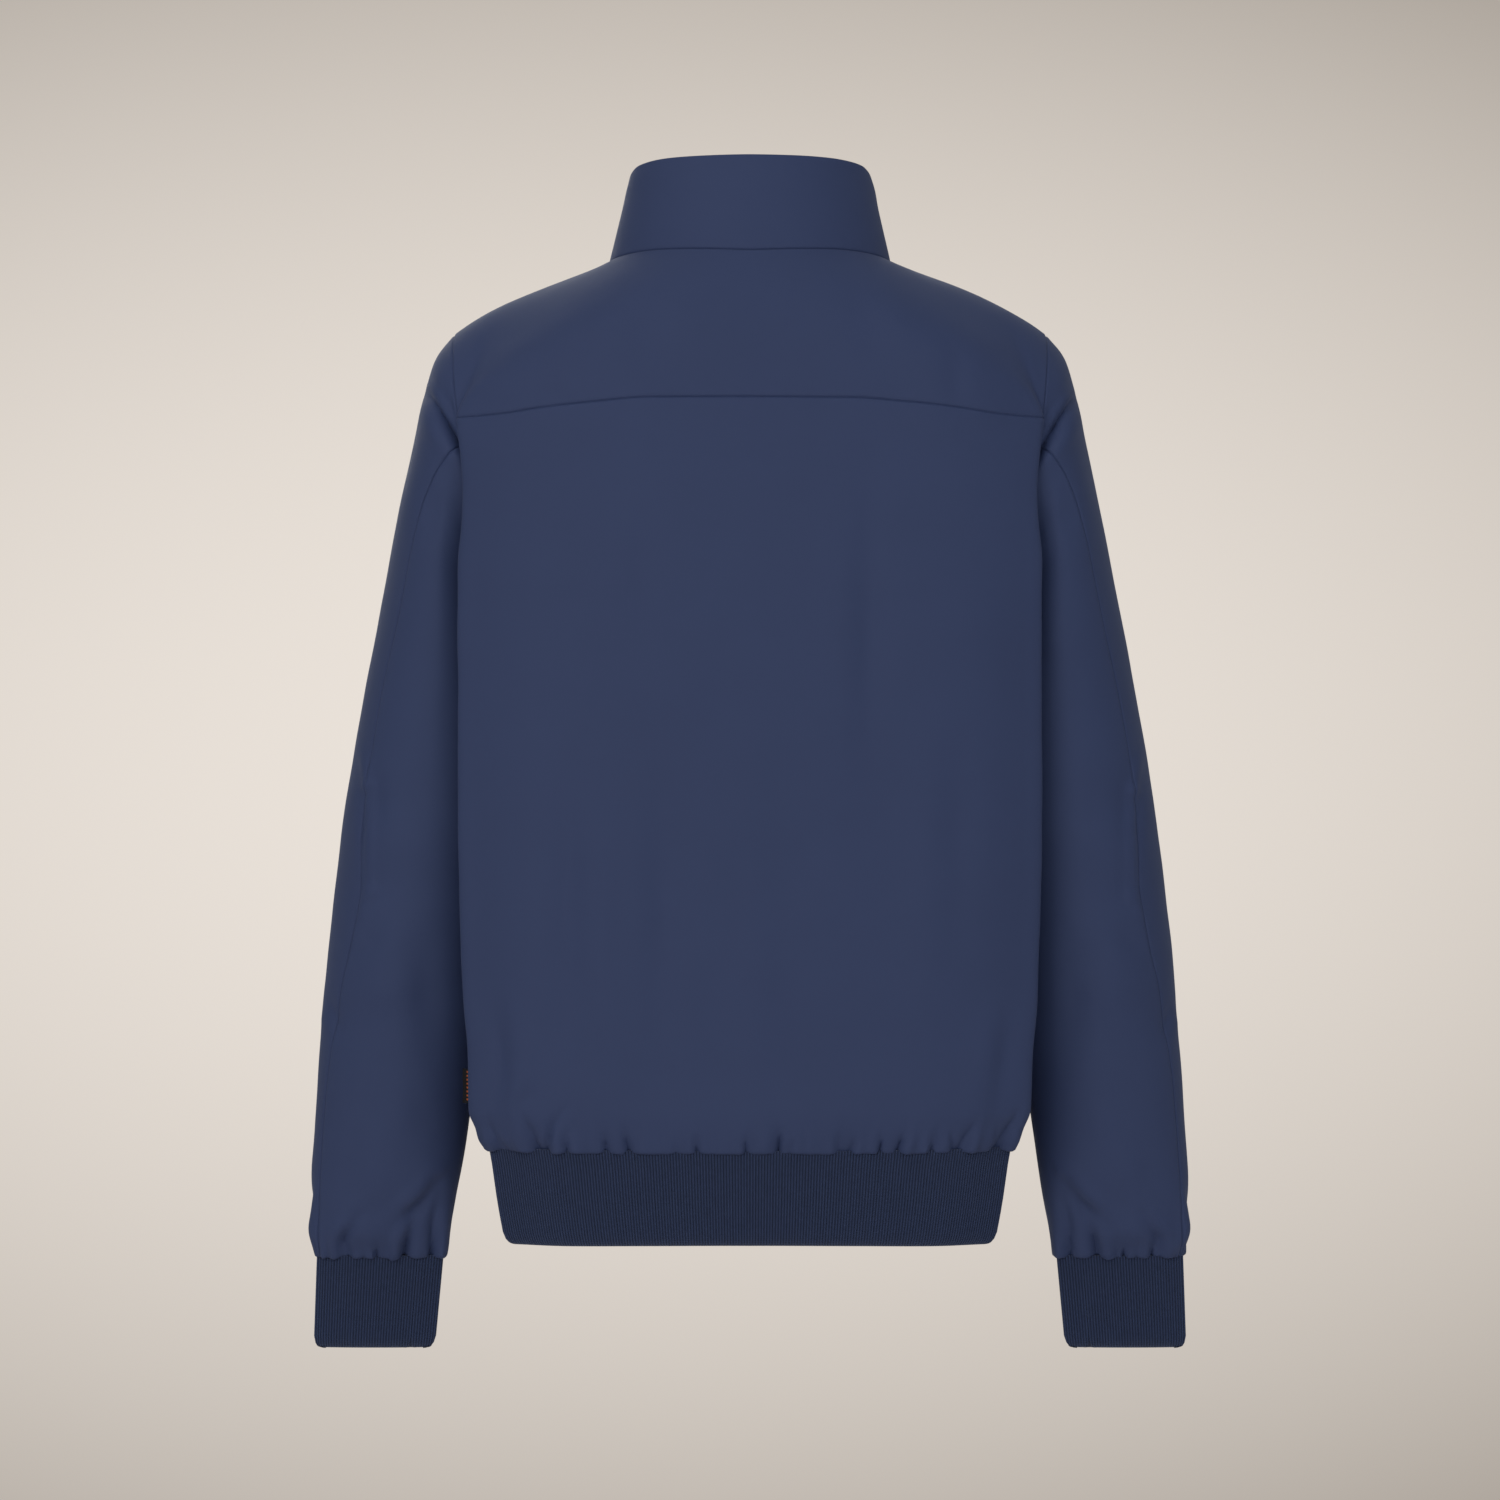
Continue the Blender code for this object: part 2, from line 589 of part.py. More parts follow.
def grid_faces(rows, columns, start, flip, wrapped=False, places=None):
    """Two triangles for each cell of a grid of points, cut along its shorter diagonal if places are given."""
    faces = []
    for row in range(rows - 1):
        for column in range(columns if wrapped else columns - 1):
            after = (column + 1) % columns
            a = start + row * columns + column
            b = start + row * columns + after
            c = start + (row + 1) * columns + after
            d = start + (row + 1) * columns + column
            cell = ((a, b, c), (a, c, d))
            if places is not None:
                corner = places[[a - start, b - start, c - start, d - start]]
                if np.linalg.norm(corner[1] - corner[3]) < np.linalg.norm(corner[0] - corner[2]) - DIAGONAL_TIE:
                    cell = ((a, b, d), (b, c, d))
            for triangle in cell:
                faces.append(triangle[::-1] if flip else triangle)
    return faces


def wall(panel, grid, inner):
    """A cloth panel: its outer face, its inner face, and its cut edges."""
    rows, columns = grid.shape[:2]
    points = np.concatenate((grid.reshape(-1, 3), inner.reshape(-1, 3)))
    count = rows * columns
    places = panel.grid.reshape(-1, 3)
    faces = grid_faces(rows, columns, 0, False, places=places)
    faces += grid_faces(rows, columns, count, True, places=places)
    ring = border(rows, columns)
    order = np.lexsort(np.round(places[:, 1:], 2).T)
    rank = np.argsort(order)
    for a, b in zip(ring, np.roll(ring, -1)):
        if rank[a] < rank[b]:
            faces += [(b, a, b + count), (a, a + count, b + count)]
        else:
            faces += [(b, a, a + count), (b, a + count, b + count)]
    return solid(panel.name, points, faces, panel.look)


def into_panel(grid, ring):
    """At each point of a grid's border, the direction along the cloth away from the edge."""
    rows, columns = grid.shape[:2]
    row, column = np.divmod(ring, columns)
    within = np.clip(row, 1, rows - 2), np.clip(column, 1, columns - 2)
    return unit(grid[within] - grid[row, column])


def sewn(panels):
    """The outer and inner face of each panel, parted at the seams and mitred where two meet."""
    rings = [border(*panel.grid.shape[:2]) for panel in panels]
    places = [panel.grid.reshape(-1, 3)[ring] for panel, ring in zip(panels, rings)]
    plain = [normals(panel.grid).reshape(-1, 3) for panel in panels]
    into = [into_panel(panel.grid, ring) for panel, ring in zip(panels, rings)]
    edges = [
        np.concatenate((plain[k][ring], into[k]), axis=1) for k, ring in enumerate(rings)
    ]
    made = []
    for own, panel in enumerate(panels):
        outer = panel.grid.reshape(-1, 3).copy()
        inward = plain[own].copy()
        for k, index in enumerate(rings[own]):
            met = [
                found
                for other in range(len(panels))
                if other != own
                for found in seam_neighbour(places[own][k], places[other], edges[other])
            ]
            if met:
                meeting = np.array([plain[own][index], *[edge[:3] for edge in met]])
                shared = unit(np.sum(meeting, axis=0))
                lean = max(float(np.min(meeting @ shared)), STEEPEST_MITRE)
                inward[index] = shared / lean
                facing = max(0.0, -float(np.min(meeting[1:] @ meeting[0]))) * FACING_SHARE
                apart = into[own][k] - np.mean(met, axis=0)[3:] - facing * meeting[0]
                outer[index] += unit(apart) * SEAM_GAP / 2
        outer = outer.reshape(panel.grid.shape)
        outer[0] += unit(panel.grid[1] - panel.grid[0]) * panel.foot_gap / 2
        made.append((outer, outer - inward.reshape(outer.shape) * panel.thickness))
    return made


def seam_neighbour(place, ring, ring_edges):
    """A neighbour's normal and inward direction where its edge passes a place, if it does."""
    step = np.roll(ring, -1, axis=0) - ring
    share = np.sum((place - ring) * step, axis=1) / np.sum(step * step, axis=1)
    share = np.clip(share, 0, 1)[:, None]
    distance = np.linalg.norm(ring + step * share - place, axis=1)
    nearest = int(np.argmin(distance))
    if distance[nearest] > SEAM_REACH:
        return []
    after = (nearest + 1) % len(ring)
    return [ring_edges[nearest] * (1 - share[nearest]) + ring_edges[after] * share[nearest]]


def stitched(outer, inner, closed):
    """Triangles between two rows of points, where the outer row has a whole multiple of the inner's."""
    faces = []
    outer_steps = len(outer) if closed else len(outer) - 1
    inner_steps = len(inner) if closed else len(inner) - 1
    ratio = outer_steps // inner_steps
    for k in range(inner_steps):
        near, far = inner[k], inner[(k + 1) % len(inner)]
        half = ratio // 2
        for j in range(ratio):
            a = outer[k * ratio + j]
            b = outer[(k * ratio + j + 1) % len(outer)]
            faces.append((a, b, near if j < half else far))
        faces.append((near, outer[(k * ratio + half) % len(outer)], far))
    return faces


def ribbed_wall(name, outer, inner, closed, look):
    """A rib-knit band: two rows of many outer points, and two rows of few plain inner points."""
    outer_count, inner_count = outer.shape[1], inner.shape[1]
    points = np.concatenate((outer.reshape(-1, 3), inner.reshape(-1, 3)))
    outer_foot = list(range(outer_count))
    outer_top = list(range(outer_count, 2 * outer_count))
    inner_foot = list(range(2 * outer_count, 2 * outer_count + inner_count))
    inner_top = list(range(2 * outer_count + inner_count, 2 * outer_count + 2 * inner_count))
    faces = grid_faces(2, outer_count, 0, False, closed)
    faces += grid_faces(2, inner_count, 2 * outer_count, True, closed)
    faces += [face[::-1] for face in stitched(outer_foot, inner_foot, closed)]
    faces += stitched(outer_top, inner_top, closed)
    if not closed:
        a, b, c, d = outer_foot[0], inner_foot[0], inner_top[0], outer_top[0]
        faces += [(a, c, b), (a, d, c)]
        a, b, c, d = outer_foot[-1], inner_foot[-1], inner_top[-1], outer_top[-1]
        faces += [(a, b, c), (a, c, d)]
    return solid(name, points, faces, look, smooth=False)


def even_shares(curve, start, end, count):
    """Shares that cut a curve into equal lengths."""
    fine = np.linspace(start, end, 1200)
    points = curve(fine)
    length = np.concatenate(([0.0], np.cumsum(np.linalg.norm(np.diff(points, axis=0), axis=1))))
    return np.interp(np.linspace(0, length[-1], count + 1), length, fine)


def rib_count(length):
    """A whole number of ribs whose points divide evenly over the plain inner columns."""
    groups = round(length / RIB_PITCH / RIBS_TO_A_PLAIN_COLUMN)
    return groups * RIBS_TO_A_PLAIN_COLUMN


def curve_length(points):
    """Length of a row of points."""
    return float(np.sum(np.linalg.norm(np.diff(points, axis=0), axis=1)))


def back_rows():
    """Heights at the back's outer edge, from the hem seam to the yoke."""
    arm = [float(armhole(angle)[2]) for angle in BACK_ANGLES]
    return np.array((HEM_SEAM, *BACK_LOWER_ROWS, *arm))


def back_grid():
    """The lower back, from the wearer's right edge to the left, rows from the hem seam up."""
    across = np.linspace(0, 1, BACK_COLUMNS + 1)
    edge_heights = back_rows()
    seam = yoke_outer(across * YOKE_SEAM_SHARE)[:, 2]
    half = []
    for edge_height in edge_heights:
        lift = np.clip((edge_height - ARMPIT) / (YOKE_CORNER - ARMPIT), 0, 1)
        height = edge_height + (seam - YOKE_CORNER) * lift
        half.append(back_panel_point(height, across))
    half = np.array(half)
    return np.concatenate((mirrored(half)[:, :-1], half), axis=1)


def back_lower(look):
    """The lower back panel."""
    grid = back_grid()
    grid = gathered(folded(grid[:, ::-1], BACK_FOLDS, grid[:, ::-1, 0]))
    return [Panel("back_lower", grid, HEM_SEAM_GAP, SHELL_WALL, look)]


def yoke_shares():
    """Columns of one half of the yoke: sparser over the flat back, then matched to the armhole."""
    flat = np.arange(0, BACK_COLUMNS - 5, 2)
    corner = np.arange(BACK_COLUMNS - 4, BACK_COLUMNS + 1)
    across = np.concatenate((flat, corner)) / BACK_COLUMNS * YOKE_SEAM_SHARE
    over = yoke_share(np.array(YOKE_ANGLES[1:]))
    return np.concatenate((across, over))


def yoke_grid():
    """The yoke, from the left front seam round the back to the right front seam, rows going up."""
    shares = yoke_shares()
    down = np.linspace(1, 0, YOKE_ROWS + 1)
    half = yoke_point(shares[None, :] + 0 * down[:, None], down[:, None] + 0 * shares[None, :])
    left = half[:, ::-1]
    right = half * np.array((-1.0, 1.0, 1.0))
    return np.concatenate((left, right[:, 1:]), axis=1)


def back_yoke(look):
    """The back yoke, rolled over both shoulders."""
    return [Panel("back_yoke", yoke_grid(), 0.0, SHELL_WALL, look)]


def front_grid():
    """The left front, from the zip to the side, rows from the hem seam to the yoke and neck."""
    across = np.linspace(0, 1, FRONT_YOKE_COLUMNS + FRONT_NECK_COLUMNS + 1)
    arm = [float(armhole(angle)[2]) for angle in FRONT_ANGLES]
    rows = [front_panel_point(height + 0 * across, across) for height in (HEM_SEAM, *BACK_LOWER_ROWS, *arm)]
    span = YOKE_FRONT_ANGLE - SLEEVE_FRONT_ANGLE
    for angle in CHEST_ANGLES[1:]:
        rows.append(chest_point((angle - SLEEVE_FRONT_ANGLE) / span + 0 * across, across))
    return np.array(rows)[:, ::-1]


def fronts(look):
    """Both front panels."""
    grid = front_grid()
    grid = gathered(folded(grid, FRONT_FOLDS, grid[..., 0]))
    return [
        Panel("front_left", grid, HEM_SEAM_GAP, SHELL_WALL, look),
        Panel("front_right", mirrored(grid), HEM_SEAM_GAP, SHELL_WALL, look),
    ]


def neck_angles():
    """Neck angles at the columns of the yoke and the fronts, for one half."""
    over_yoke = read(YOKE_LINES, "share", "neck", yoke_shares())
    before = np.linspace(NECK_CORNER_ANGLE, front_neck_angle(), FRONT_NECK_COLUMNS + 1)
    return np.concatenate((over_yoke, before[1:]))


def collar(look):
    """The stand collar, open at the centre front."""
    angles = neck_angles()
    up = np.linspace(0, 1, COLLAR_ROWS + 1)
    half = collar_point(angles[None, :] + 0 * up[:, None], up[:, None] + 0 * angles[None, :])
    right = half * np.array((-1.0, 1.0, 1.0))
    grid = np.concatenate((half[:, ::-1], right[:, 1:]), axis=1)
    return [Panel("collar", grid, 0.0, COLLAR_WALL, look)]


def sleeve_grid(start, end, first_angles):
    """A sleeve piece between two seams, whose first row keeps the armhole's own angles."""
    share = (first_angles - first_angles[0]) / (first_angles[-1] - first_angles[0])
    rings = np.array(SLEEVE_ROWS)
    angle = start[:, None] + (end - start)[:, None] * share[None, :]
    grid = sleeve_point(rings[:, None] + 0 * angle, angle)
    return grid[::-1], angle[::-1]


def sleeves(upper_look, under_look):
    """Upper and under sleeves of both arms."""
    index = np.arange(len(SLEEVE_RINGS))
    back_seam = [ring.seam for ring in SLEEVE_RINGS]
    rings = np.array(SLEEVE_ROWS)
    back_angle = through(rings, index, back_seam)
    front_angle = SLEEVE_FRONT_ANGLE + 0 * rings
    upper_first = np.array((*CHEST_ANGLES[:-1], *YOKE_ANGLES[::-1], SLEEVE_BACK_ANGLE))
    under_first = np.array((*BACK_ANGLES[-2::-1], *[360 + angle for angle in FRONT_ANGLES[1:]]))
    upper, upper_angle = sleeve_grid(front_angle, back_angle, upper_first)
    under, under_angle = sleeve_grid(back_angle, 360 + front_angle, under_first)
    panels = []
    for piece, grid, angle, look in (
        ("upper_sleeve", upper, upper_angle, upper_look),
        ("under_sleeve", under, under_angle, under_look),
    ):
        place = np.where(angle > 180, angle - 360, angle)
        shaped = folded(grid, SLEEVE_FOLDS, place)
        shaped[-1, :, 0] += UNDERARM_ROOM * np.clip(-np.cos(np.radians(angle[-1])), 0, 1)
        panels.append(Panel(piece + "_left", shaped, HEM_SEAM_GAP, SHELL_WALL, look))
        panels.append(Panel(piece + "_right", mirrored(shaped), HEM_SEAM_GAP, SHELL_WALL, look))
    return panels


def ring_sizes(ring):
    """A ring's sizes by name."""
    return ring._asdict()


def cuffs(look):
    """Both rib cuffs, closed tubes."""
    top, foot = ring_sizes(CUFF_TOP), ring_sizes(CUFF_FOOT)
    length = curve_length(ring_point(top, np.linspace(0, 360, 400)))
    ribs = rib_count(length)
    angle = even_shares(lambda turn: ring_point(top, turn), 0, 360, 2 * ribs)[:-1]
    plain = angle[:: 2 * RIBS_TO_A_PLAIN_COLUMN]
    rows = []
    inner = []
    for sizes in (foot, top):
        row = ring_point(sizes, angle)
        out = outward(row, closed=True)
        rows.append(row + out * np.where(np.arange(2 * ribs) % 2 == 0, 0.0, RIB_HEIGHT)[:, None])
        inner.append(ring_point(sizes, plain) - out[:: 2 * RIBS_TO_A_PLAIN_COLUMN] * RIB_WALL)
    rows = np.array(rows)
    inner = np.array(inner)
    ribbed_wall("cuff_left", rows, inner, True, look)
    ribbed_wall("cuff_right", mirrored_ring(rows), mirrored_ring(inner), True, look)


def outward(row, closed):
    """Level outward directions along a row of points that runs to the outer face's right."""
    if closed:
        step = np.roll(row, -1, axis=0) - np.roll(row, 1, axis=0)
    else:
        step = np.gradient(row, axis=0)
    return unit(np.stack((step[:, 1], -step[:, 0], 0 * step[:, 0]), axis=-1))


def hem_band(look):
    """The rib hem band, from one side of the zip round the back to the other."""
    top = HEM_SEAM - HEM_SEAM_GAP / 2
    end = float(share_where(np.array(top), 0, FRONT_EDGE, 0.8, 1.0))
    level = np.array(top)
    length = curve_length(body_point(level, np.linspace(0, end, 600)))
    ribs = rib_count(length)
    share = even_shares(lambda at: body_point(level + 0 * at, at), 0, end, 2 * ribs)
    rows = []
    inner = []
    for height in (HEM_BOTTOM, top):
        half = body_point(height + 0 * share, share)
        half[-1, 0] = FRONT_EDGE
        right = half * np.array((-1.0, 1.0, 1.0))
        row = np.concatenate((half[::-1], right[1:]))
        out = outward(row, closed=False)
        raised = np.where(np.arange(len(row)) % 2 == 0, 0.0, RIB_HEIGHT)
        rows.append(row + out * raised[:, None])
        inner.append((row - out * RIB_WALL)[:: 2 * RIBS_TO_A_PLAIN_COLUMN])
    rows = np.array(rows)
    inner = np.array(inner)
    ribbed_wall("hem_band", rows, inner, False, look)
    return rows[:, 0]


def zip_path(hem_edge, front_edge, collar_edge):
    """The zip's line up the centre front, as depths and heights, from the hem to the collar's top."""
    points = np.concatenate((hem_edge[:1], front_edge, collar_edge[1:]))
    return points[:, 1:]


def path_normals(path):
    """Outward directions along the zip's line."""
    step = unit(np.gradient(path, axis=0))
    return np.stack((-step[:, 1], step[:, 0]), axis=-1)


def strip(name, path, x_range, depths, look, sink=(0.0, 0.0)):
    """A strip that follows the zip's line under the cloth's outer face, each edge sunk by its own."""
    out = path_normals(path)
    low, high = x_range
    rings = []
    for place, direction in zip(path, out):
        corners = ((low, depths[0] + sink[0]), (high, depths[0] + sink[1]))
        corners += ((high, depths[1] + sink[1]), (low, depths[1] + sink[0]))
        rings.append([(x, *(place - direction * depth)) for x, depth in corners])
    points = np.array(rings).reshape(-1, 3)
    faces = [(3, 2, 1), (3, 1, 0)]
    for k in range(len(path) - 1):
        for side in range(4):
            after = (side + 1) % 4
            a, b = 4 * k + side, 4 * k + after
            faces += [(a, b, b + 4), (a, b + 4, a + 4)]
    last = 4 * (len(path) - 1)
    faces += [(last, last + 1, last + 2), (last, last + 2, last + 3)]
    return solid(name, points, faces, look, smooth=False)


def cut_path(path, from_foot, from_top):
    """The zip's line with a length taken off each end."""
    length = np.concatenate(([0.0], np.cumsum(np.linalg.norm(np.diff(path, axis=0), axis=1))))
    low, high = from_foot, length[-1] - from_top
    keep = (length > low + 1.0) & (length < high - 1.0)
    ends = [[np.interp(at, length, path[:, axis]) for axis in (0, 1)] for at in (low, high)]
    return np.concatenate(([ends[0]], path[keep], [ends[1]]))


def prism(name, outline, x_pairs, look):
    """Join boxes that share an outline's frame; each pair of x values and ranges is one box."""
    points = []
    for x in x_pairs:
        points += [(x, *place) for place in outline]
    count = len(outline)
    faces = [tuple(range(count))[::-1], tuple(range(count, 2 * count))]
    for k in range(count):
        after = (k + 1) % count
        faces.append((k, after, after + count, k + count))
    return solid(name, points, faces, look, smooth=False)


def zip_frame(path, from_top):
    """A point on the zip's line near its top, with the directions up along it and out of it."""
    top = cut_path(path, 0.0, from_top)[-1]
    up = unit(path[-1] - path[-2])
    out = np.array((-up[1], up[0]))
    return top, up, out


def zip_slider(path, look):
    """The slider: a front plate with its arch, a waist between the tapes, and a back plate."""
    middle, up, out = zip_frame(path, SLIDER_BELOW_EDGE + SLIDER_LENGTH / 2)
    half = SLIDER_LENGTH / 2
    front_face = -(SLIDER_TOP_DEPTH - SLIDER_PLATE)
    section = (
        (-SLIDER_HALF_WIDTH, front_face),
        (SLIDER_HALF_WIDTH, front_face),
        (SLIDER_HALF_WIDTH, -SLIDER_TOP_DEPTH),
        (SLIDER_WAIST, -SLIDER_TOP_DEPTH),
        (SLIDER_WAIST, -SLIDER_FOOT_DEPTH),
        (SLIDER_HALF_WIDTH, -SLIDER_FOOT_DEPTH),
        (SLIDER_HALF_WIDTH, -SLIDER_FOOT_DEPTH - SLIDER_PLATE),
        (-SLIDER_HALF_WIDTH, -SLIDER_FOOT_DEPTH - SLIDER_PLATE),
        (-SLIDER_HALF_WIDTH, -SLIDER_FOOT_DEPTH),
        (-SLIDER_WAIST, -SLIDER_FOOT_DEPTH),
        (-SLIDER_WAIST, -SLIDER_TOP_DEPTH),
        (-SLIDER_HALF_WIDTH, -SLIDER_TOP_DEPTH),
    )
    points = []
    for along_path in (-half, half):
        for x, rise in section:
            place = middle + up * along_path + out * rise
            points.append((x, *place))
    count = len(section)
    faces = [tuple(range(count))[::-1], tuple(range(count, 2 * count))]
    for k in range(count):
        after = (k + 1) % count
        faces.append((k, after, after + count, k + count))
    body = solid("zip_slider", points, faces, look, smooth=False)
    arch_inner_rise = front_face + 2 * PIVOT_RISE
    arch_outer_rise = arch_inner_rise + ARCH_BAR
    arch_outer = ARCH_INNER + ARCH_BAR
    profile = (
        (-arch_outer, front_face - 0.3),
        (-ARCH_INNER, front_face - 0.3),
        (-ARCH_INNER, arch_inner_rise),
        (ARCH_INNER, arch_inner_rise),
        (ARCH_INNER, front_face - 0.3),
        (arch_outer, front_face - 0.3),
        (arch_outer, arch_outer_rise),
        (-arch_outer, arch_outer_rise),
    )
    outline = [middle + up * along_path + out * rise for along_path, rise in profile]
    arch = prism("slider_arch", outline, (-ARCH_HALF_WIDTH, ARCH_HALF_WIDTH), look)
    arch.hide_render = True
    arch.display_type = "WIRE"
    union = body.modifiers.new("arch", "BOOLEAN")
    union.operation = "UNION"
    union.object = arch
    pivot = middle + out * (front_face + PIVOT_RISE)
    return np.array((0.0, *pivot))


def zip_pull(pivot, look):
    """The pull tab, hanging from the slider's arch; its origin is on the arch's axis."""
    half = PULL_HALF_THICK
    levels = (PULL_BAR, -PULL_BAR, -PULL_SLOT_END, -PULL_LENGTH + 1.6, -PULL_LENGTH)
    outer = (PULL_RING_HALF, PULL_RING_HALF, PULL_GRIP_HALF, PULL_GRIP_HALF, PULL_GRIP_HALF - 1.4)
    points = []
    for y in (-half, half):
        for level, width in zip(levels, outer):
            points += [(-width, y, level), (width, y, level)]
        for level in levels[1:3]:
            points += [(-PULL_SLOT_HALF, y, level), (PULL_SLOT_HALF, y, level)]
    size = 2 * len(levels) + 4
    slot = 2 * len(levels)
    plates = (
        (0, 1, 3, slot + 1, slot, 2),
        (2, slot, slot + 2, 4),
        (slot + 1, 3, 5, slot + 3),
        (4, slot + 2, slot + 3, 5, 7, 6),
        (6, 7, 9, 8),
    )
    edge = (0, 2, 4, 6, 8, 9, 7, 5, 3, 1)
    hole = (slot, slot + 1, slot + 3, slot + 2)
    faces = [plate[::-1] for plate in plates]
    faces += [tuple(k + size for k in plate) for plate in plates]
    for loop in (edge, hole):
        for a, b in zip(loop, loop[1:] + loop[:1]):
            faces.append((b, a, a + size, b + size))
    mesh_points = np.array(points) + pivot
    made = solid("zip_pull", mesh_points, faces, look, smooth=False, pivot=tuple(pivot))
    return made


def zip_pieces(path, tape_look, chain_look, metal_look):
    """Tapes, chain, box, slider and pull tab."""
    box_room = ZIP_BOX_LENGTH + SEAM_GAP
    tape_path = cut_path(path, box_room, 0.6)
    left, right = (TAPE_INNER, TAPE_OUTER), (-TAPE_OUTER, -TAPE_INNER)
    strip("zip_tape_left", tape_path, left, TAPE_DEPTHS, tape_look, sink=(0.0, TAPE_SINK))
    strip("zip_tape_right", tape_path, right, TAPE_DEPTHS, tape_look, sink=(TAPE_SINK, 0.0))
    chain_path = cut_path(path, box_room, SLIDER_BELOW_EDGE + SLIDER_LENGTH + SEAM_GAP)
    strip("zip_chain", chain_path, (-CHAIN_HALF_WIDTH, CHAIN_HALF_WIDTH), CHAIN_DEPTHS, chain_look)
    box_path = np.concatenate((path[:1], cut_path(path, ZIP_BOX_LENGTH, 0.0)[:1]))
    strip("zip_box", box_path, (-ZIP_BOX_HALF_WIDTH, ZIP_BOX_HALF_WIDTH), ZIP_BOX_DEPTHS, metal_look)
    pivot = zip_slider(path, metal_look)
    zip_pull(pivot, metal_look)


def side_label(look):
    """The folded label that stands out of the left side seam."""
    heights = np.array((LABEL_TOP - LABEL_HEIGHT, LABEL_TOP))
    root = body_point(heights, seam_share(heights, 1))
    direction = unit(np.array((*LABEL_DIRECTION, 0.0)))
    across = np.array((direction[1], -direction[0], 0.0)) * LABEL_THICKNESS / 2
    points = []
    for place in root:
        near = place + direction * (SEAM_GAP + 0.3)
        far = place + direction * LABEL_REACH
        points += [near - across, near + across, far + across, far - across]
    faces = [(3, 2, 1, 0), (4, 5, 6, 7)]
    for k in range(4):
        after = (k + 1) % 4
        faces.append((k, after, after + 4, k + 4))
    solid("side_label", points, faces, look, smooth=False)


def main():
    """Clear the scene and build the jacket."""
    for item in list(bpy.data.objects):
        bpy.data.objects.remove(item)
    shell = material("navy shell cloth", NAVY, 0.7, 0.0)
    yoke = material("navy yoke cloth", NAVY_YOKE, 0.7, 0.0)
    rib = material("dark navy rib knit", RIB_NAVY, 0.9, 0.0)
    black = material("black label", BLACK, 0.8, 0.0)
    zip_cloth = material("navy zip tape", ZIP_NAVY, 0.8, 0.0)
    metal = material("dark zip metal", GUNMETAL, 0.4, 1.0)
    front_panels = fronts(shell)
    collar_panels = collar(shell)
    panels = back_lower(shell) + back_yoke(yoke) + front_panels + collar_panels + sleeves(shell, shell)
    for panel, (outer, inner) in zip(panels, sewn(panels)):
        wall(panel, outer, inner)
    cuffs(rib)
    hem_edge = hem_band(rib)
    path = zip_path(hem_edge, front_panels[0].grid[:, 0], collar_panels[0].grid[:, 0])
    zip_pieces(path, zip_cloth, zip_cloth, metal)
    side_label(black)


main()
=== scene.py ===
"""The looks of a worn, empty zip-front windbreaker: shell cloth, rib knit, zip, label and studio.

The jacket's front faces -Y and the wearer's left is +X. The form's tables and working values are in
millimetres, as on the frame that is loaded here; meshes, lights and the camera are in metres.
"""

import math
from collections import namedtuple

import bpy
import numpy as np
from bpy.props import FloatProperty, FloatVectorProperty, IntProperty, PointerProperty
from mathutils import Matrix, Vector, noise


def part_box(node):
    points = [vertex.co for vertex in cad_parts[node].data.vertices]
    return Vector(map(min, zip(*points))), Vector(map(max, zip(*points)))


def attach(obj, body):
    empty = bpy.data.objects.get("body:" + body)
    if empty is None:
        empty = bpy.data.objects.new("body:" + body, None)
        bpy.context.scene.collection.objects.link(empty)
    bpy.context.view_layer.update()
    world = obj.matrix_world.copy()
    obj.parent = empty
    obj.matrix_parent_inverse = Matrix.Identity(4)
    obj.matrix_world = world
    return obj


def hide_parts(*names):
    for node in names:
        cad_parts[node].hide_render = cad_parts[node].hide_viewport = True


bl_info = {
    "name": "Windbreaker looks",
    "version": (1, 0, 0),
    "blender": (4, 5, 0),
    "location": "3D View > Sidebar > Jacket",
    "description": "Cloth shells, rib knit, zip and label of a worn windbreaker",
    "category": "Object",
}

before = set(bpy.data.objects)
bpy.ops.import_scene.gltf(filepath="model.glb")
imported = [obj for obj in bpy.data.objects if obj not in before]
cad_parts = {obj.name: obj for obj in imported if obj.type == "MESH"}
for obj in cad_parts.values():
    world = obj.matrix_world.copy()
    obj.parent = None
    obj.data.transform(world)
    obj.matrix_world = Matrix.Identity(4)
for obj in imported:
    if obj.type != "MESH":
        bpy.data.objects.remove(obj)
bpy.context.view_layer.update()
MM = 0.001
BODY = "jacket"

# Heights and lines that the panels share, in mm.
HEM_BOTTOM = -674.0
HEM_SEAM = -610.0
ARMPIT = -228.0
YOKE_CORNER = -110.5
FRONT_EDGE = 5.5
CUFF_SEAM = -692.0
CUFF_LENGTH = 64.0

MIRROR = np.array((-1.0, 1.0, 1.0))

# Angles round the armhole, in degrees from its top; the back is positive.
YOKE_BACK_ANGLE = 72.2
YOKE_FRONT_ANGLE = -42.8
SLEEVE_FRONT_ANGLE = -110.0


def table(kind, *rows):
    """Rows of one kind, with named columns."""
    return tuple(kind(*row) for row in rows)


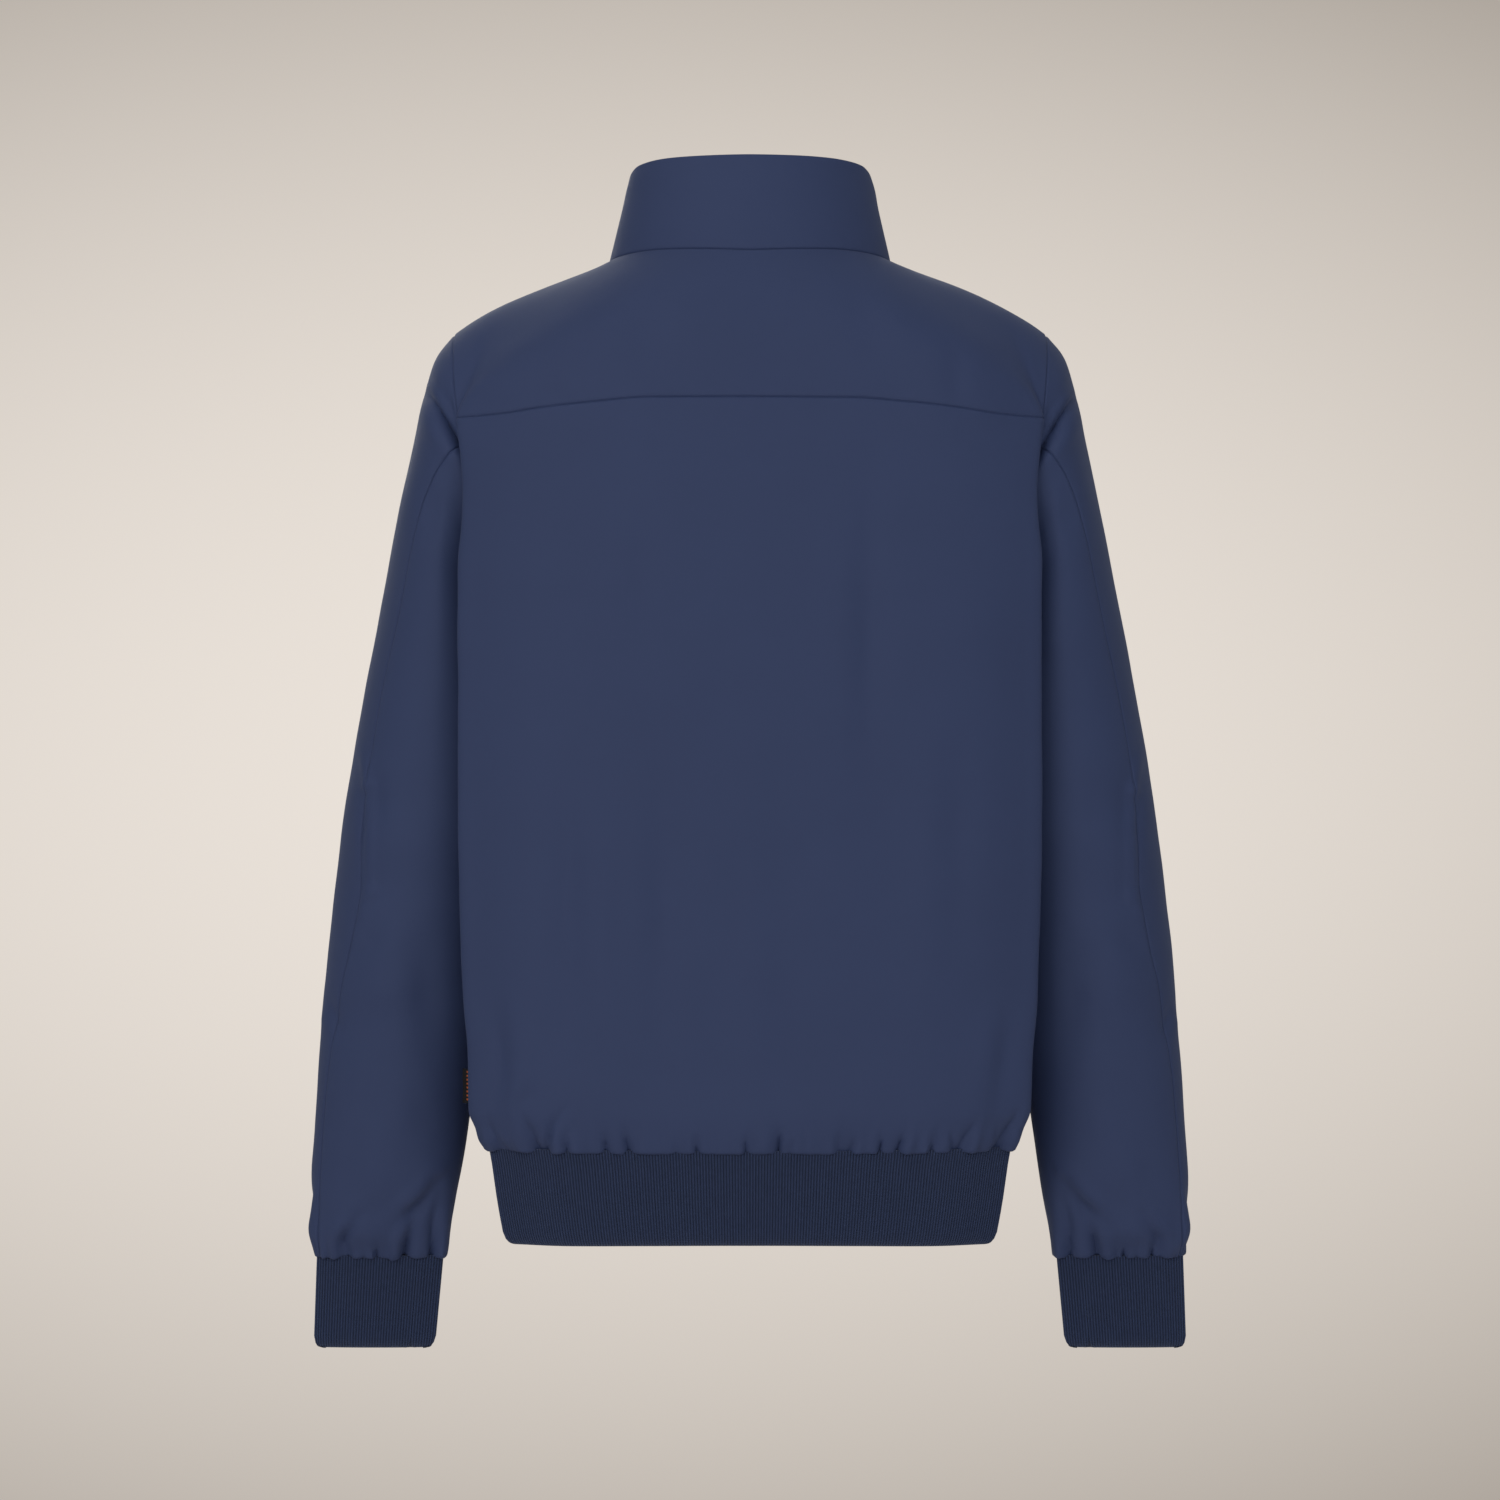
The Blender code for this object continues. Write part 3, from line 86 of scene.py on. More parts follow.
# The body's level sections, for one side: half width at the back corner (edge) and its depth (tip),
# depth of the back and of the front, the hollow where the arm lies, and the side under the arm.
Section = namedtuple("Section", "height edge tip back hollow_x hollow_y side front seam")
BODY_SECTIONS = table(
    Section,
    (-678, 165.5, 64, 98.0, 163, 40, 158, 106, 52),
    (-645, 171.6, 67, 101.0, 168, 41, 164, 109, 54),
    (-618, 175.5, 69, 103.0, 171, 42, 168, 111, 56),
    (-609, 177.0, 70, 104.0, 172, 42, 169, 112, 57),
    (-603, 181.9, 73, 106.0, 174, 43, 172, 115, 60),
    (-596, 184.8, 75, 108.0, 176, 44, 174, 118, 63),
    (-583, 190.4, 78, 110.0, 177, 46, 175, 122, 66),
    (-548, 191.5, 79, 111.0, 175, 48, 174, 125, 66),
    (-507, 195.2, 79, 111.5, 173, 50, 171, 127, 63),
    (-466, 196.5, 79, 112.0, 169, 51, 166, 129, 58),
    (-400, 198.0, 79, 112.0, 165, 54, 154, 130, 50),
    (-325, 198.0, 79, 112.0, 163, 55, 149, 130, 38),
    (-285, 198.0, 79, 112.0, 162, 56, 150, 130, 26),
    (-250, 198.0, 79, 111.5, 163, 56, 155, 129, 12),
    (-236, 198.0, 79, 111.0, 166, 54, 161, 129, 4),
    (-228, 198.0, 79, 111.0, 170, 50, 169.5, 128, 0),
    (-200, 197.5, 79, 110.0, 179, 50, 172.5, 127, 0),
    (-165, 197.0, 78, 109.0, 186, 58, 177, 125, 0),
    (-133, 196.8, 76, 107.0, 191, 62, 180, 120, 0),
    (-110, 199.0, 72, 105.0, 197, 60, 183, 114, 0),
    (-95, 201.0, 70, 103.5, 199, 58, 185, 110, 0),
)

# The seam of the back yoke, read across the back from its middle.
YokeSeam = namedtuple("YokeSeam", "across height")
YOKE_SEAM = table(
    YokeSeam,
    (0, -98.5),
    (70, -98.8),
    (105, -101.5),
    (140, -105.0),
    (170, -109.0),
    (200, YOKE_CORNER),
)

# The neck seam and the collar's top edge, by the angle from the centre back.
Neck = namedtuple("Neck", "angle height top")
NECK = table(
    Neck,
    (0, 4, 71.4),
    (40, 6, 71.0),
    (66, 4, 68.6),
    (76, 2.5, 65.5),
    (90, 0, 59),
    (115, -12, 42),
    (140, -32, 24),
    (160, -48, 11),
    (180, -57, 5),
)
NECK_HALF_WIDTH = 98.0
NECK_BACK_DEPTH = 74.0
NECK_FRONT_DEPTH = 76.0
COLLAR_HALF_WIDTH = 84.0
COLLAR_BACK_DEPTH = 60.0
COLLAR_FRONT_DEPTH = 82.0
NECK_CORNER_ANGLE = 117.0

# How the yoke runs out from the neck to its outer seam.
YokeLine = namedtuple("YokeLine", "share neck slope out_x out_y out_z")
YOKE_LINES = table(
    YokeLine,
    (0.00, 0, 53, 0.00, 0.07, -1.00),
    (0.25, 26, 48, 0.03, 0.08, -1.00),
    (0.45, 46, 42, 0.18, 0.12, -0.97),
    (0.50, 51, 40, 0.28, 0.15, -0.94),
    (0.65, 72, 28, 0.62, 0.22, -0.75),
    (0.80, 90, 18, 0.80, 0.00, -0.60),
    (1.00, 117, 26, 0.72, -0.25, -0.65),
)
YOKE_SEAM_SHARE = 0.5
YOKE_RIDGE_SHARE = 0.8
FRONT_CORNER_SHARE = 0.5

# Rings down the sleeve: outermost and innermost points, depths behind and before the arm's middle,
# how far the back stands out and the front goes in, the pinch of the inner half, the back seam's angle.
Ring = namedtuple("Ring", "outer_x outer_z inner_x inner_z back front back_out front_in pinch seam")
SLEEVE_RINGS = table(
    Ring,
    (206.0, -48, 170.0, -228, 70, 60, 7, 10, 0.00, 83),
    (218.8, -64.4, 170.0, -236, 69, 63, 9, 5, 0.12, 81),
    (227.2, -92.4, 168.5, -243, 68, 66, 11, 1, 0.18, 75),
    (234.9, -127.4, 166.5, -252, 66, 69, 11, -1, 0.20, 67),
    (246.0, -180, 163.5, -268, 64, 72, 8, -1, 0.20, 58),
    (256.2, -232.4, 161.5, -287, 62, 74, 4, 0, 0.18, 51),
    (269.2, -302.4, 160.0, -327, 59, 74, 1, 0, 0.12, 43),
    (281.1, -372, 163.0, -380, 57, 71, 0, 0, 0.06, 42),
    (290.2, -442, 171.5, -442, 53, 67, 0, 0, 0.03, 49),
    (297.2, -512, 182.5, -512, 46, 63, 0, 0, 0.00, 39),
    (302.1, -582, 195.5, -582, 38, 58, 0, 0, 0.00, 31),
    (305.2, -636, 203.9, -636, 31, 54, 0, 0, 0.00, 29),
    (305.9, -668, 209.5, -668, 22, 52, 0, 0, 0.00, 28),
    (302.6, -691.5, 215.0, -691.5, 8, 48, 0, 0, 0.00, 25),
)
CUFF_TOP = Ring(302.4, CUFF_SEAM, 215.6, CUFF_SEAM, 8, 48, 0, 0, 0, 25)
CUFF_FOOT = Ring(304.6, CUFF_SEAM - CUFF_LENGTH, 221.6, CUFF_SEAM - CUFF_LENGTH, 5, 49, 0, 0, 0, 25)

# Soft swells and hollows, by height and by the place round the piece: x on the body, angle on a sleeve.
Swell = namedtuple("Swell", "place height reach_round reach_high depth")
SLEEVE_SWELLS = table(
    Swell,
    (66, -372, 26, 14, -1.0),
    (62, -402, 26, 13, 0.9),
    (66, -432, 28, 14, -1.1),
    (60, -461, 26, 14, 0.8),
    (40, -525, 26, 13, -0.9),
    (75, -500, 30, 18, 1.6),
    (-60, -405, 36, 22, -3.0),
    (-60, -445, 36, 20, 2.4),
    (-75, -500, 32, 18, -2.2),
    (150, -420, 34, 18, -1.6),
    (110, -655, 26, 12, -2.2),
    (75, -672, 20, 9, 1.8),
    (-70, -662, 30, 11, -2.0),
    (20, -674, 22, 8, 1.2),
)
BACK_SWELLS = table(
    Swell,
    (124, -455, 14, 110, -2.0),
    (101, -470, 13, 90, 1.6),
    (62, -460, 13, 120, -1.8),
    (-4, -500, 16, 90, 1.6),
    (-81, -270, 13, 110, -1.8),
    (-118, -440, 15, 110, 1.6),
)
FRONT_SWELLS = table(
    Swell,
    (95, -440, 16, 110, -2.4),
    (60, -470, 15, 90, 1.8),
    (120, -330, 16, 90, 1.8),
    (35, -300, 14, 90, -1.6),
)

# Creases drawn on a piece as seen square on from one side: points of the line, half width and depth of
# the trough, the ridge beside it (positive on the line's left), and its strength at both ends.
# Seen from behind, places are as they appear from the camera, on the plane through the neck.
Crease = namedtuple("Crease", "view line width depth lip start end")


def drawn(view, *rows):
    """Creases seen from one side, each a row of its other columns."""
    return tuple(Crease(view, *row) for row in rows)


BODY_CREASES = drawn(
    "back",
    # Short creases that run up from the hem seam, across the back from the wearer's left.
    (((182, -598), (174, -616)), 2.6, 1.5, 0.5, 0.2, 1.0),
    (((161, -591), (154, -603), (148, -619)), 2.8, 1.9, 0.6, 0.1, 1.0),
    (((128, -586), (139, -602), (142, -620)), 2.8, 2.0, -0.6, 0.1, 1.0),
    (((128, -608), (128, -622)), 2.0, 1.4, 0.4, 0.3, 1.0),
    (((102, -606), (101, -624)), 2.0, 1.7, 0.4, 0.2, 1.0),
    (((90, -600), (84, -622)), 2.8, 2.0, 0.7, 0.1, 1.0),
    (((52, -613), (52, -624)), 2.0, 1.1, 0.3, 0.3, 1.0),
    (((38, -608), (37, -624)), 2.1, 1.7, 0.5, 0.2, 1.0),
    (((3, -607), (2, -623)), 2.1, 1.8, 0.4, 0.2, 1.0),
    (((-21, -601), (-20, -623)), 2.4, 2.0, -0.6, 0.1, 1.0),
    (((-29, -610), (-25, -623)), 2.0, 1.1, 0.3, 0.2, 1.0),
    (((-61, -604), (-63, -622)), 3.2, 1.2, 0.3, 0.1, 1.0),
    (((-75, -608), (-67, -624)), 2.2, 1.6, -0.5, 0.2, 1.0),
    (((-91, -606), (-91, -623)), 2.0, 1.7, 0.5, 0.2, 1.0),
    (((-110, -602), (-102, -622)), 2.4, 2.0, -0.6, 0.1, 1.0),
    (((-127, -608), (-126, -621)), 2.0, 1.4, 0.4, 0.2, 1.0),
    (((-140, -603), (-142, -618)), 2.0, 1.3, 0.4, 0.2, 1.0),
    (((-158, -597), (-146, -619)), 2.6, 1.8, -0.5, 0.1, 1.0),
    (((-189, -589), (-174, -615)), 2.8, 1.8, -0.6, 0.1, 1.0),
    # Long soft lines that hang down the back.
    (((62, -311), (57, -440), (60, -565)), 12.0, 1.0, 0.5, 0.0, 0.2),
    (((128, -330), (127, -430), (129, -540)), 11.0, 1.0, -0.5, 0.0, 0.1),
    (((76, -160), (77, -215), (70, -275)), 9.0, 0.8, 0.3, 0.1, 0.0),
    (((-82, -140), (-84, -250), (-78, -365)), 10.0, 0.9, 0.5, 0.1, 0.0),
    (((-150, -300), (-146, -400), (-150, -500)), 11.0, 0.7, -0.4, 0.0, 0.0),
    (((180, -500), (174, -560), (178, -596)), 7.0, 1.4, -0.8, 0.0, 0.4),
    (((-182, -510), (-177, -560), (-172, -596)), 7.0, 1.2, 0.7, 0.0, 0.4),
    (((150, -560), (156, -580), (168, -594)), 5.0, 1.0, 0.5, 0.0, 0.3),
    # Soft dents in the yoke.
    (((-143, -50), (-145, -96)), 9.0, 1.0, 0.5, 0.1, 0.3),
    (((139, -78), (138, -97)), 8.0, 0.9, -0.4, 0.1, 0.3),
    (((88, -8), (70, -40), (66, -78)), 12.0, 0.9, 0.4, 0.0, 0.0),
    (((-62, 0), (-80, -30), (-92, -70)), 12.0, 1.0, -0.4, 0.2, 0.0),
) + drawn(
    "front",
    # The fronts: creases from the underarm, soft lines beside the zip and the hem's gathers.
    (((168, -196), (138, -214), (108, -226)), 6.0, 2.4, 0.8, 0.8, 0.0),
    (((166, -176), (140, -186), (118, -188)), 5.0, 1.6, 0.6, 0.8, 0.0),
    (((158, -250), (132, -276), (112, -310)), 9.0, 1.8, 0.6, 0.3, 0.0),
    (((-168, -190), (-141, -211), (-104, -232)), 6.0, 2.5, -0.8, 0.8, 0.0),
    (((-165, -168), (-146, -180), (-124, -184)), 5.0, 1.5, -0.6, 0.8, 0.0),
    (((-160, -262), (-128, -288), (-110, -330)), 9.0, 1.6, -0.6, 0.3, 0.0),
    (((92, -64), (76, -118), (70, -190)), 11.0, 1.5, -0.5, 0.3, 0.0),
    (((-90, -62), (-80, -112), (-66, -176)), 11.0, 1.4, 0.5, 0.3, 0.0),
    (((34, -210), (24, -300), (28, -400)), 9.0, 1.3, 0.6, 0.0, 0.0),
    (((-30, -250), (-26, -350), (-34, -470)), 9.0, 1.2, -0.6, 0.0, 0.0),
    (((112, -420), (104, -500), (108, -592)), 9.0, 1.6, 0.6, 0.0, 0.6),
    (((-104, -400), (-100, -496), (-96, -594)), 9.0, 1.7, -0.6, 0.0, 0.6),
    (((62, -520), (56, -560), (58, -600)), 6.0, 1.4, 0.5, 0.0, 0.8),
    (((-58, -500), (-66, -556), (-62, -600)), 6.0, 1.3, -0.5, 0.0, 0.8),
)
HEM_CREASES = tuple(
    crease for crease in BODY_CREASES if crease.view == "back" and crease.line[-1][1] < HEM_SEAM
)
# On the sleeves; the right one takes the same lines, moved a little.
SLEEVE_CREASES = drawn(
    "back",
    # The deep fold that runs down to the back of the armhole.
    (((227, -87), (217, -102), (208, -116), (200, -130)), 2.5, 4.2, -0.5, 0.35, 1.0),
    (((226, -78), (215, -94), (206, -108), (199, -122)), 7.0, 2.6, 0.2, 0.3, 0.8),
    (((229, -100), (219, -116), (208, -132)), 6.0, -1.6, 0.0, 0.3, 0.6),
    (((214, -140), (222, -168), (226, -200)), 8.0, 1.4, 0.5, 0.2, 0.0),
    # Puckers of the back seam at the elbow, and the soft folds around them.
    (((273, -330), (269, -345), (266.5, -362)), 3.6, -1.2, 0.3, 0.0, 0.9),
    (((266.8, -362), (265.5, -400), (265.8, -438)), 3.2, -1.2, -0.2, 0.8, 0.9),
    (((265.8, -436), (269, -446), (271, -460)), 3.6, -1.0, 0.2, 0.9, 0.0),
    (((270.5, -368), (269.5, -392), (270.5, -420)), 2.8, 1.1, 0.2, 0.2, 0.2),
    (((256, -350), (262, -372), (263, -396)), 7.0, 1.1, 0.3, 0.0, 0.1),
    (((255, -452), (264, -470), (276, -482)), 7.0, 1.1, -0.5, 0.0, 0.2),
    (((294, -510), (291.5, -519), (287, -538)), 3.4, 1.2, 0.7, 0.1, 0.2),
    (((226, -455), (228, -500), (221, -560)), 12.0, 1.8, 0.5, 0.0, 0.1),
    (((250, -560), (246, -590), (249, -622)), 10.0, -0.9, 0.4, 0.0, 0.0),
    # Above the cuff.
    (((274, -662), (279, -671), (284.5, -679), (285.5, -692)), 3.4, 2.6, 0.7, 0.2, 1.0),
    (((219, -640), (228, -653), (240, -664), (249, -673)), 4.4, 3.0, 0.8, 0.3, 0.1),
    (((233, -664), (240.5, -682), (243.5, -694)), 3.6, 2.8, 0.7, 0.2, 1.0),
    (((217, -648), (221, -668), (223.5, -690)), 3.4, 2.2, -0.7, 0.2, 1.0),
    (((296, -684), (294.5, -695)), 2.0, 1.8, 0.3, 0.3, 1.0),
    (((280, -682), (279.7, -695)), 2.0, 1.9, 0.3, 0.3, 1.0),
    (((262, -684), (260, -695)), 2.0, 1.7, 0.3, 0.2, 1.0),
    (((254, -682), (254.5, -695)), 2.0, 1.5, 0.3, 0.2, 1.0),
    (((270, -600), (280, -636), (281, -660)), 9.0, 1.2, -0.4, 0.0, 0.2),
) + drawn(
    "out",
    # On the outside of the arm, seen from beside it; places are depth and height.
    (((-12, -338), (-30, -350), (-52, -347)), 5.5, 1.2, 0.8, 0.0, 0.2),
    (((-8, -388), (-28, -396), (-52, -410)), 5.0, 1.3, 0.8, 0.0, 0.2),
    (((-10, -448), (-30, -440), (-52, -447)), 5.5, 1.2, -0.8, 0.0, 0.2),
    (((-30, -600), (-14, -640), (-20, -668)), 8.0, 1.6, 0.5, 0.0, 0.2),
    (((6, -640), (-4, -668), (-2, -694)), 4.0, 2.4, 0.6, 0.1, 1.0),
    (((-24, -662), (-22, -694)), 3.4, 2.2, -0.6, 0.1, 1.0),
    (((-36, -672), (-34, -694)), 2.6, 1.6, 0.5, 0.2, 1.0),
) + drawn(
    "front",
    # On the front of the arm.
    (((176, -262), (204, -276), (228, -270)), 6.5, 2.3, 0.7, 0.7, 0.0),
    (((170, -384), (206, -398), (246, -392), (272, -376)), 6.5, 2.8, 0.8, 0.6, 0.2),
    (((172, -420), (200, -430), (236, -428)), 5.5, 2.0, 0.7, 0.6, 0.0),
    (((182, -470), (216, -462), (250, -470)), 6.0, 1.8, -0.6, 0.5, 0.0),
    (((290, -540), (262, -560), (238, -590)), 8.0, 1.6, 0.6, 0.2, 0.0),
    (((222, -630), (236, -660), (238, -692)), 4.5, 2.4, 0.6, 0.1, 1.0),
    (((268, -640), (262, -668), (264, -692)), 4.5, 2.5, -0.6, 0.1, 1.0),
    (((287, -664), (285, -692)), 3.0, 1.8, 0.5, 0.2, 1.0),
)
RIGHT_SLEEVE_SHIFT = (1.2, -3.0)
RIGHT_SLEEVE_SHARE = 0.92

# Places where the rib band draws the cloth in: distance round the hem from the centre back, and width.
Pinch = namedtuple("Pinch", "place width strength")
HEM_PINCHES = table(
    Pinch,
    (169, 5, 0.9), (144, 5, 1.0), (137, 4, 0.9), (124, 4, 0.7), (98, 4, 0.9),
    (82, 5, 1.0), (50, 4, 0.6), (36, 4, 0.9), (2, 4, 0.9), (-20, 5, 1.0),
    (-26, 4, 0.6), (-61, 5, 0.6), (-66, 4, 0.9), (-88, 4, 0.9), (-100, 5, 1.0),
    (-122, 4, 0.8), (-137, 4, 0.8), (-142, 4, 0.9), (-170, 5, 0.9),
)
PINCH_STEP = 21.0
PINCH_SIDE_START = 195.0
PINCH_SIDE_END = 545.0
CUFF_PINCHES = table(
    Pinch,
    (-150, 6, 0.8), (-118, 6, 1.0), (-92, 5, 0.8), (-63, 6, 1.0), (-38, 5, 0.9),
    (-16, 5, 0.8), (2, 4, 0.9), (20, 5, 0.9), (40, 4, 0.9), (60, 4, 0.8),
    (76, 4, 0.9), (88, 4, 0.8), (116, 5, 1.0), (146, 5, 0.9), (174, 6, 0.8),
)

# How the cloth is smoothed, tucked and gathered, in mm.
YOKE_SMOOTHING = 30
YOKE_SOFTNESS = 20.0
COLLAR_ALLOWANCE = np.array((4.5, 3.0, 1.5, 0.6))
COLLAR_TUCK = 1.2
COLLAR_RISE = 67.0
COLLAR_ROUNDED = 3.0
COLLAR_EDGE = 0.12
GATHER_STREAKS = 2.1
TURNED_IN = 1.5
HEM_FRONT_START = 205.0
HEM_READ_ROW = 3
ARMHOLE_FADE = 16.0

# Lengths over which the mesh lines of the panels are spread, in mm.
BACK_RUN = 300.0
YOKE_RUN = 210.0
YOKE_FALL = 118.0
FRONT_RUN = 215.0
CHEST_RISE = 96.0
UPPER_SLEEVE_RUN = 190.0
UNDER_SLEEVE_RUN = 165.0
# Distances from a seam, and from the seam of a band, at which mesh lines stand.
SEAM_LINES = np.array((0.0, 0.35, 0.8, 1.4, 2.2))
HEM_LINES = np.array((0, 0.5, 1.1, 1.8, 2.6, 3.6, 4.8, 6.2, 8.0, 10.0, 12.5, 15.5, 19.0, 23.0))

# The rib bands: mesh points to a rib, rows, the fold at the foot, and how the band curls in to it, in mm.
RIB_POINTS = 6
BAND_ROWS = 9
BAND_FOLD_ROWS = 6
BAND_FOLD_RADIUS = 1.5
BAND_CURL_HEIGHT = 8.5
BAND_CURL = 6.5
BAND_TUCKED_UP = 1.5
HEM_SIDE_DROP = 2.4
HEM_END_EASE = 8.0
CUFF_SEAM_ANGLE = 128.0
CUFF_SEAM_DEPTH = 0.7

# The zip and the topstitching, in mm.
TAPE_START = 9.6
TAPE_END = 0.8
TAPE_ROWS = 240
TAPE_INNER = 0.12
TAPE_OUTER = 14.0
TAPE_DEPTH = 1.7
TAPE_SINK = 1.6
TAPE_THICKNESS = 0.7
COIL_START = 10.2
COIL_DEPTH = 1.1
COIL_OVERLAP = 0.75
SLIDER_ROOM = 13.5
STITCH_START = 68.0
STITCH_END = 5.0
STITCH_FROM_EDGE = 6.5
STITCH_SPACING = 1.22
CAST_FROM = 12.0
METAL_EDGE = 0.28
METAL_WELD = 0.02
THREAD_SHADE = 1.15

# The side label: how far it shows past its solid, and the column of bars woven into it, in mm.
# The label's black is its own colour; its reach past the solid also stands in for the painted shadow of the
# gap between sleeve and body.
LABEL_SHOWN = 2.6
LABEL_MARK_START = 0.9
LABEL_MARK_END = 2.4
LABEL_BAR_PITCH = 2.7

# The studio, in metres and watts.
CAMERA_DISTANCE = 3.0
CAMERA_HEIGHT = -0.3374
FRAME_WIDTH = 1.05
SENSOR = 36.0
FLOOR_HEIGHT = -1.45
Light = namedtuple("Light", "name place size power colour")
LIGHTS = table(
    Light,
    ("key", (1.7, 2.9, 0.7), (2.0, 2.0), 31.0, (1.0, 0.98, 0.95)),
    ("camera_soft", (0.0, 3.4, 0.2), (2.4, 1.6), 14.0, (1.0, 1.0, 1.0)),
    ("fill", (-2.0, 2.5, 0.3), (2.2, 2.2), 11.0, (0.97, 0.98, 1.0)),
    ("front_soft", (0.6, -3.0, 1.2), (2.6, 2.6), 32.0, (1.0, 0.99, 0.97)),
    ("top", (0.4, 0.4, 2.4), (2.0, 2.0), 9.0, (1.0, 1.0, 1.0)),
)
LIGHT_TARGET = (0.0, 0.0, -0.30)
WORLD_COLOUR = (0.96, 0.98, 1.0, 1)
WORLD_STRENGTH = 0.32
DOME_RADIUS = 6.2
DOME_FOOT = -3.2
DOME_TOP = 5.0
FLOOR_RADIUS = 3.0
# The backdrop's painted pool of light: its squeeze, its middle and its reach.
GLOW_SHAPE = (0.187, 0.0, 0.324)
GLOW_PLACE = (0.35, 0.0, -0.34)
GLOW_REACH = 0.40


def length_setting(name, description, value):
    """A length, given in millimetres."""
    return FloatProperty(name=name, description=description, default=value * MM, unit="LENGTH")


def colour_setting(name, description, value):
    """A colour, given as linear light."""
    return FloatVectorProperty(name=name, description=description, subtype="COLOR", default=value)


class JacketSizes(bpy.types.PropertyGroup):
    """Sizes of the cloth and its making."""

    cloth: length_setting("Cloth", "Thickness of the shell cloth", 0.7)
    collar: length_setting("Collar", "Thickness of the doubled collar", 2.2)
    step: length_setting("Mesh step", "Distance between mesh lines", 2.7)
    seam_dip: length_setting("Seam depth", "How deep the groove of a seam is", 1.0)
    rib_pitch: length_setting("Rib pitch", "Width of one knit rib", 2.0)
    rib_height: length_setting("Rib height", "Height of a knit rib", 0.85)
    rib_thickness: length_setting("Rib thickness", "Thickness of a rib band at its grooves", 1.9)
    gather_bulge: length_setting("Gather bulge", "How far the cloth puffs out above a band", 2.0)
    gather_drop: length_setting("Gather drop", "How far the puffs hang over a band", 2.1)
    stitch: length_setting("Stitch", "Length of one topstitch", 2.6)
    crease_share: FloatProperty(
        name="Crease share", description="Strength of all creases", default=1.5, min=0, max=3
    )
    teeth: IntProperty(
        name="Zip teeth", description="Coil turns on each side of the zip", default=430, min=50
    )


class JacketColours(bpy.types.PropertyGroup):
    """Colours of the cloth, knit, zip and label, and of the backdrop's painted glow."""

    shell: colour_setting("Shell", "Navy shell cloth", (0.0335, 0.0505, 0.124))
    rib: colour_setting("Rib", "Dark navy rib knit", (0.0275, 0.043, 0.102))
    tape: colour_setting("Tape", "Zip tape", (0.016, 0.022, 0.045))
    teeth: colour_setting("Teeth", "Zip coil", (0.010, 0.013, 0.024))
    metal: colour_setting("Metal", "Dark zip metal", (0.060, 0.062, 0.068))
    label: colour_setting("Label", "Label ribbon", (0.008, 0.008, 0.010))
    mark: colour_setting("Mark", "Bars on the label", (0.42, 0.10, 0.025))
    # The backdrop's colours are the bright middle and the dim corners of its painted glow; the floor takes
    # the middle one.
    backdrop: colour_setting("Backdrop", "Middle of the backdrop", (0.82, 0.757, 0.695))
    backdrop_glow_rim: colour_setting("Backdrop edge", "Corners of the backdrop", (0.42, 0.378, 0.335))


def sizes():
    """The jacket's sizes; its lengths are in metres, and mm() gives them in millimetres."""
    return bpy.context.scene.jacket_sizes


def mm(value):
    """A length property in millimetres."""
    return value / MM


# ---- Reading the form -------------------------------------------------------------------------------


def hermite(start, end, start_pull, end_pull, share):
    """A cubic from start to end that leaves and arrives along the two pulls."""
    square = share * share
    cube = square * share
    return (
        start * (2 * cube - 3 * square + 1)
        + end * (3 * square - 2 * cube)
        + start_pull * (cube - 2 * square + share)
        + end_pull * (cube - square)
    )


def through(at, knots, values):
    """Read a smooth curve through the knots that never passes beyond its own values."""
    at = np.clip(np.asarray(at, float), knots[0], knots[-1])
    knots = np.asarray(knots, float)
    values = np.asarray(values, float)
    step = np.diff(knots)
    slope = np.diff(values) / step
    before, after = slope[:-1], slope[1:]
    same_way = before * after > 0
    weight_before = 2 * step[1:] + step[:-1]
    weight_after = step[1:] + 2 * step[:-1]
    middle = np.zeros(len(before))
    middle[same_way] = (weight_before + weight_after)[same_way] / (
        weight_before[same_way] / before[same_way] + weight_after[same_way] / after[same_way]
    )
    pull = np.concatenate(([slope[0]], middle, [slope[-1]]))
    k = np.clip(np.searchsorted(knots, at, side="right") - 1, 0, len(step) - 1)
    share = (at - knots[k]) / step[k]
    return hermite(values[k], values[k + 1], pull[k] * step[k], pull[k + 1] * step[k], share)


def read(rows, key, column, at):
    """Read one named column of a table at values of its key column."""
    return through(at, [getattr(row, key) for row in rows], [getattr(row, column) for row in rows])


def along(points, share):
    """Points at shares 0 to 1 along smooth curves; points is (..., count, axes), share is (...)."""
    chord = np.sqrt(np.linalg.norm(np.diff(points, axis=-2), axis=-1))[..., None]
    rise = np.diff(points, axis=-2) / chord
    middle = (rise[..., :-1, :] * chord[..., 1:, :] + rise[..., 1:, :] * chord[..., :-1, :]) / (
        chord[..., 1:, :] + chord[..., :-1, :]
    )
    pull = np.concatenate((rise[..., :1, :], middle, rise[..., -1:, :]), axis=-2)
    knots = np.concatenate((np.zeros_like(chord[..., :1, 0]), np.cumsum(chord[..., 0], axis=-1)), axis=-1)
    at = share * knots[..., -1]
    k = np.sum(knots[..., 1:-1] <= at[..., None], axis=-1)[..., None]
    here = np.take_along_axis(knots, k, axis=-1)
    step = np.take_along_axis(knots, k + 1, axis=-1) - here
    local = (at[..., None] - here) / step
    k = k[..., None]
    start = np.take_along_axis(points, k, axis=-2)[..., 0, :]
    end = np.take_along_axis(points, k + 1, axis=-2)[..., 0, :]
    start_pull = np.take_along_axis(pull, k, axis=-2)[..., 0, :] * step
    end_pull = np.take_along_axis(pull, k + 1, axis=-2)[..., 0, :] * step
    return hermite(start, end, start_pull, end_pull, local)


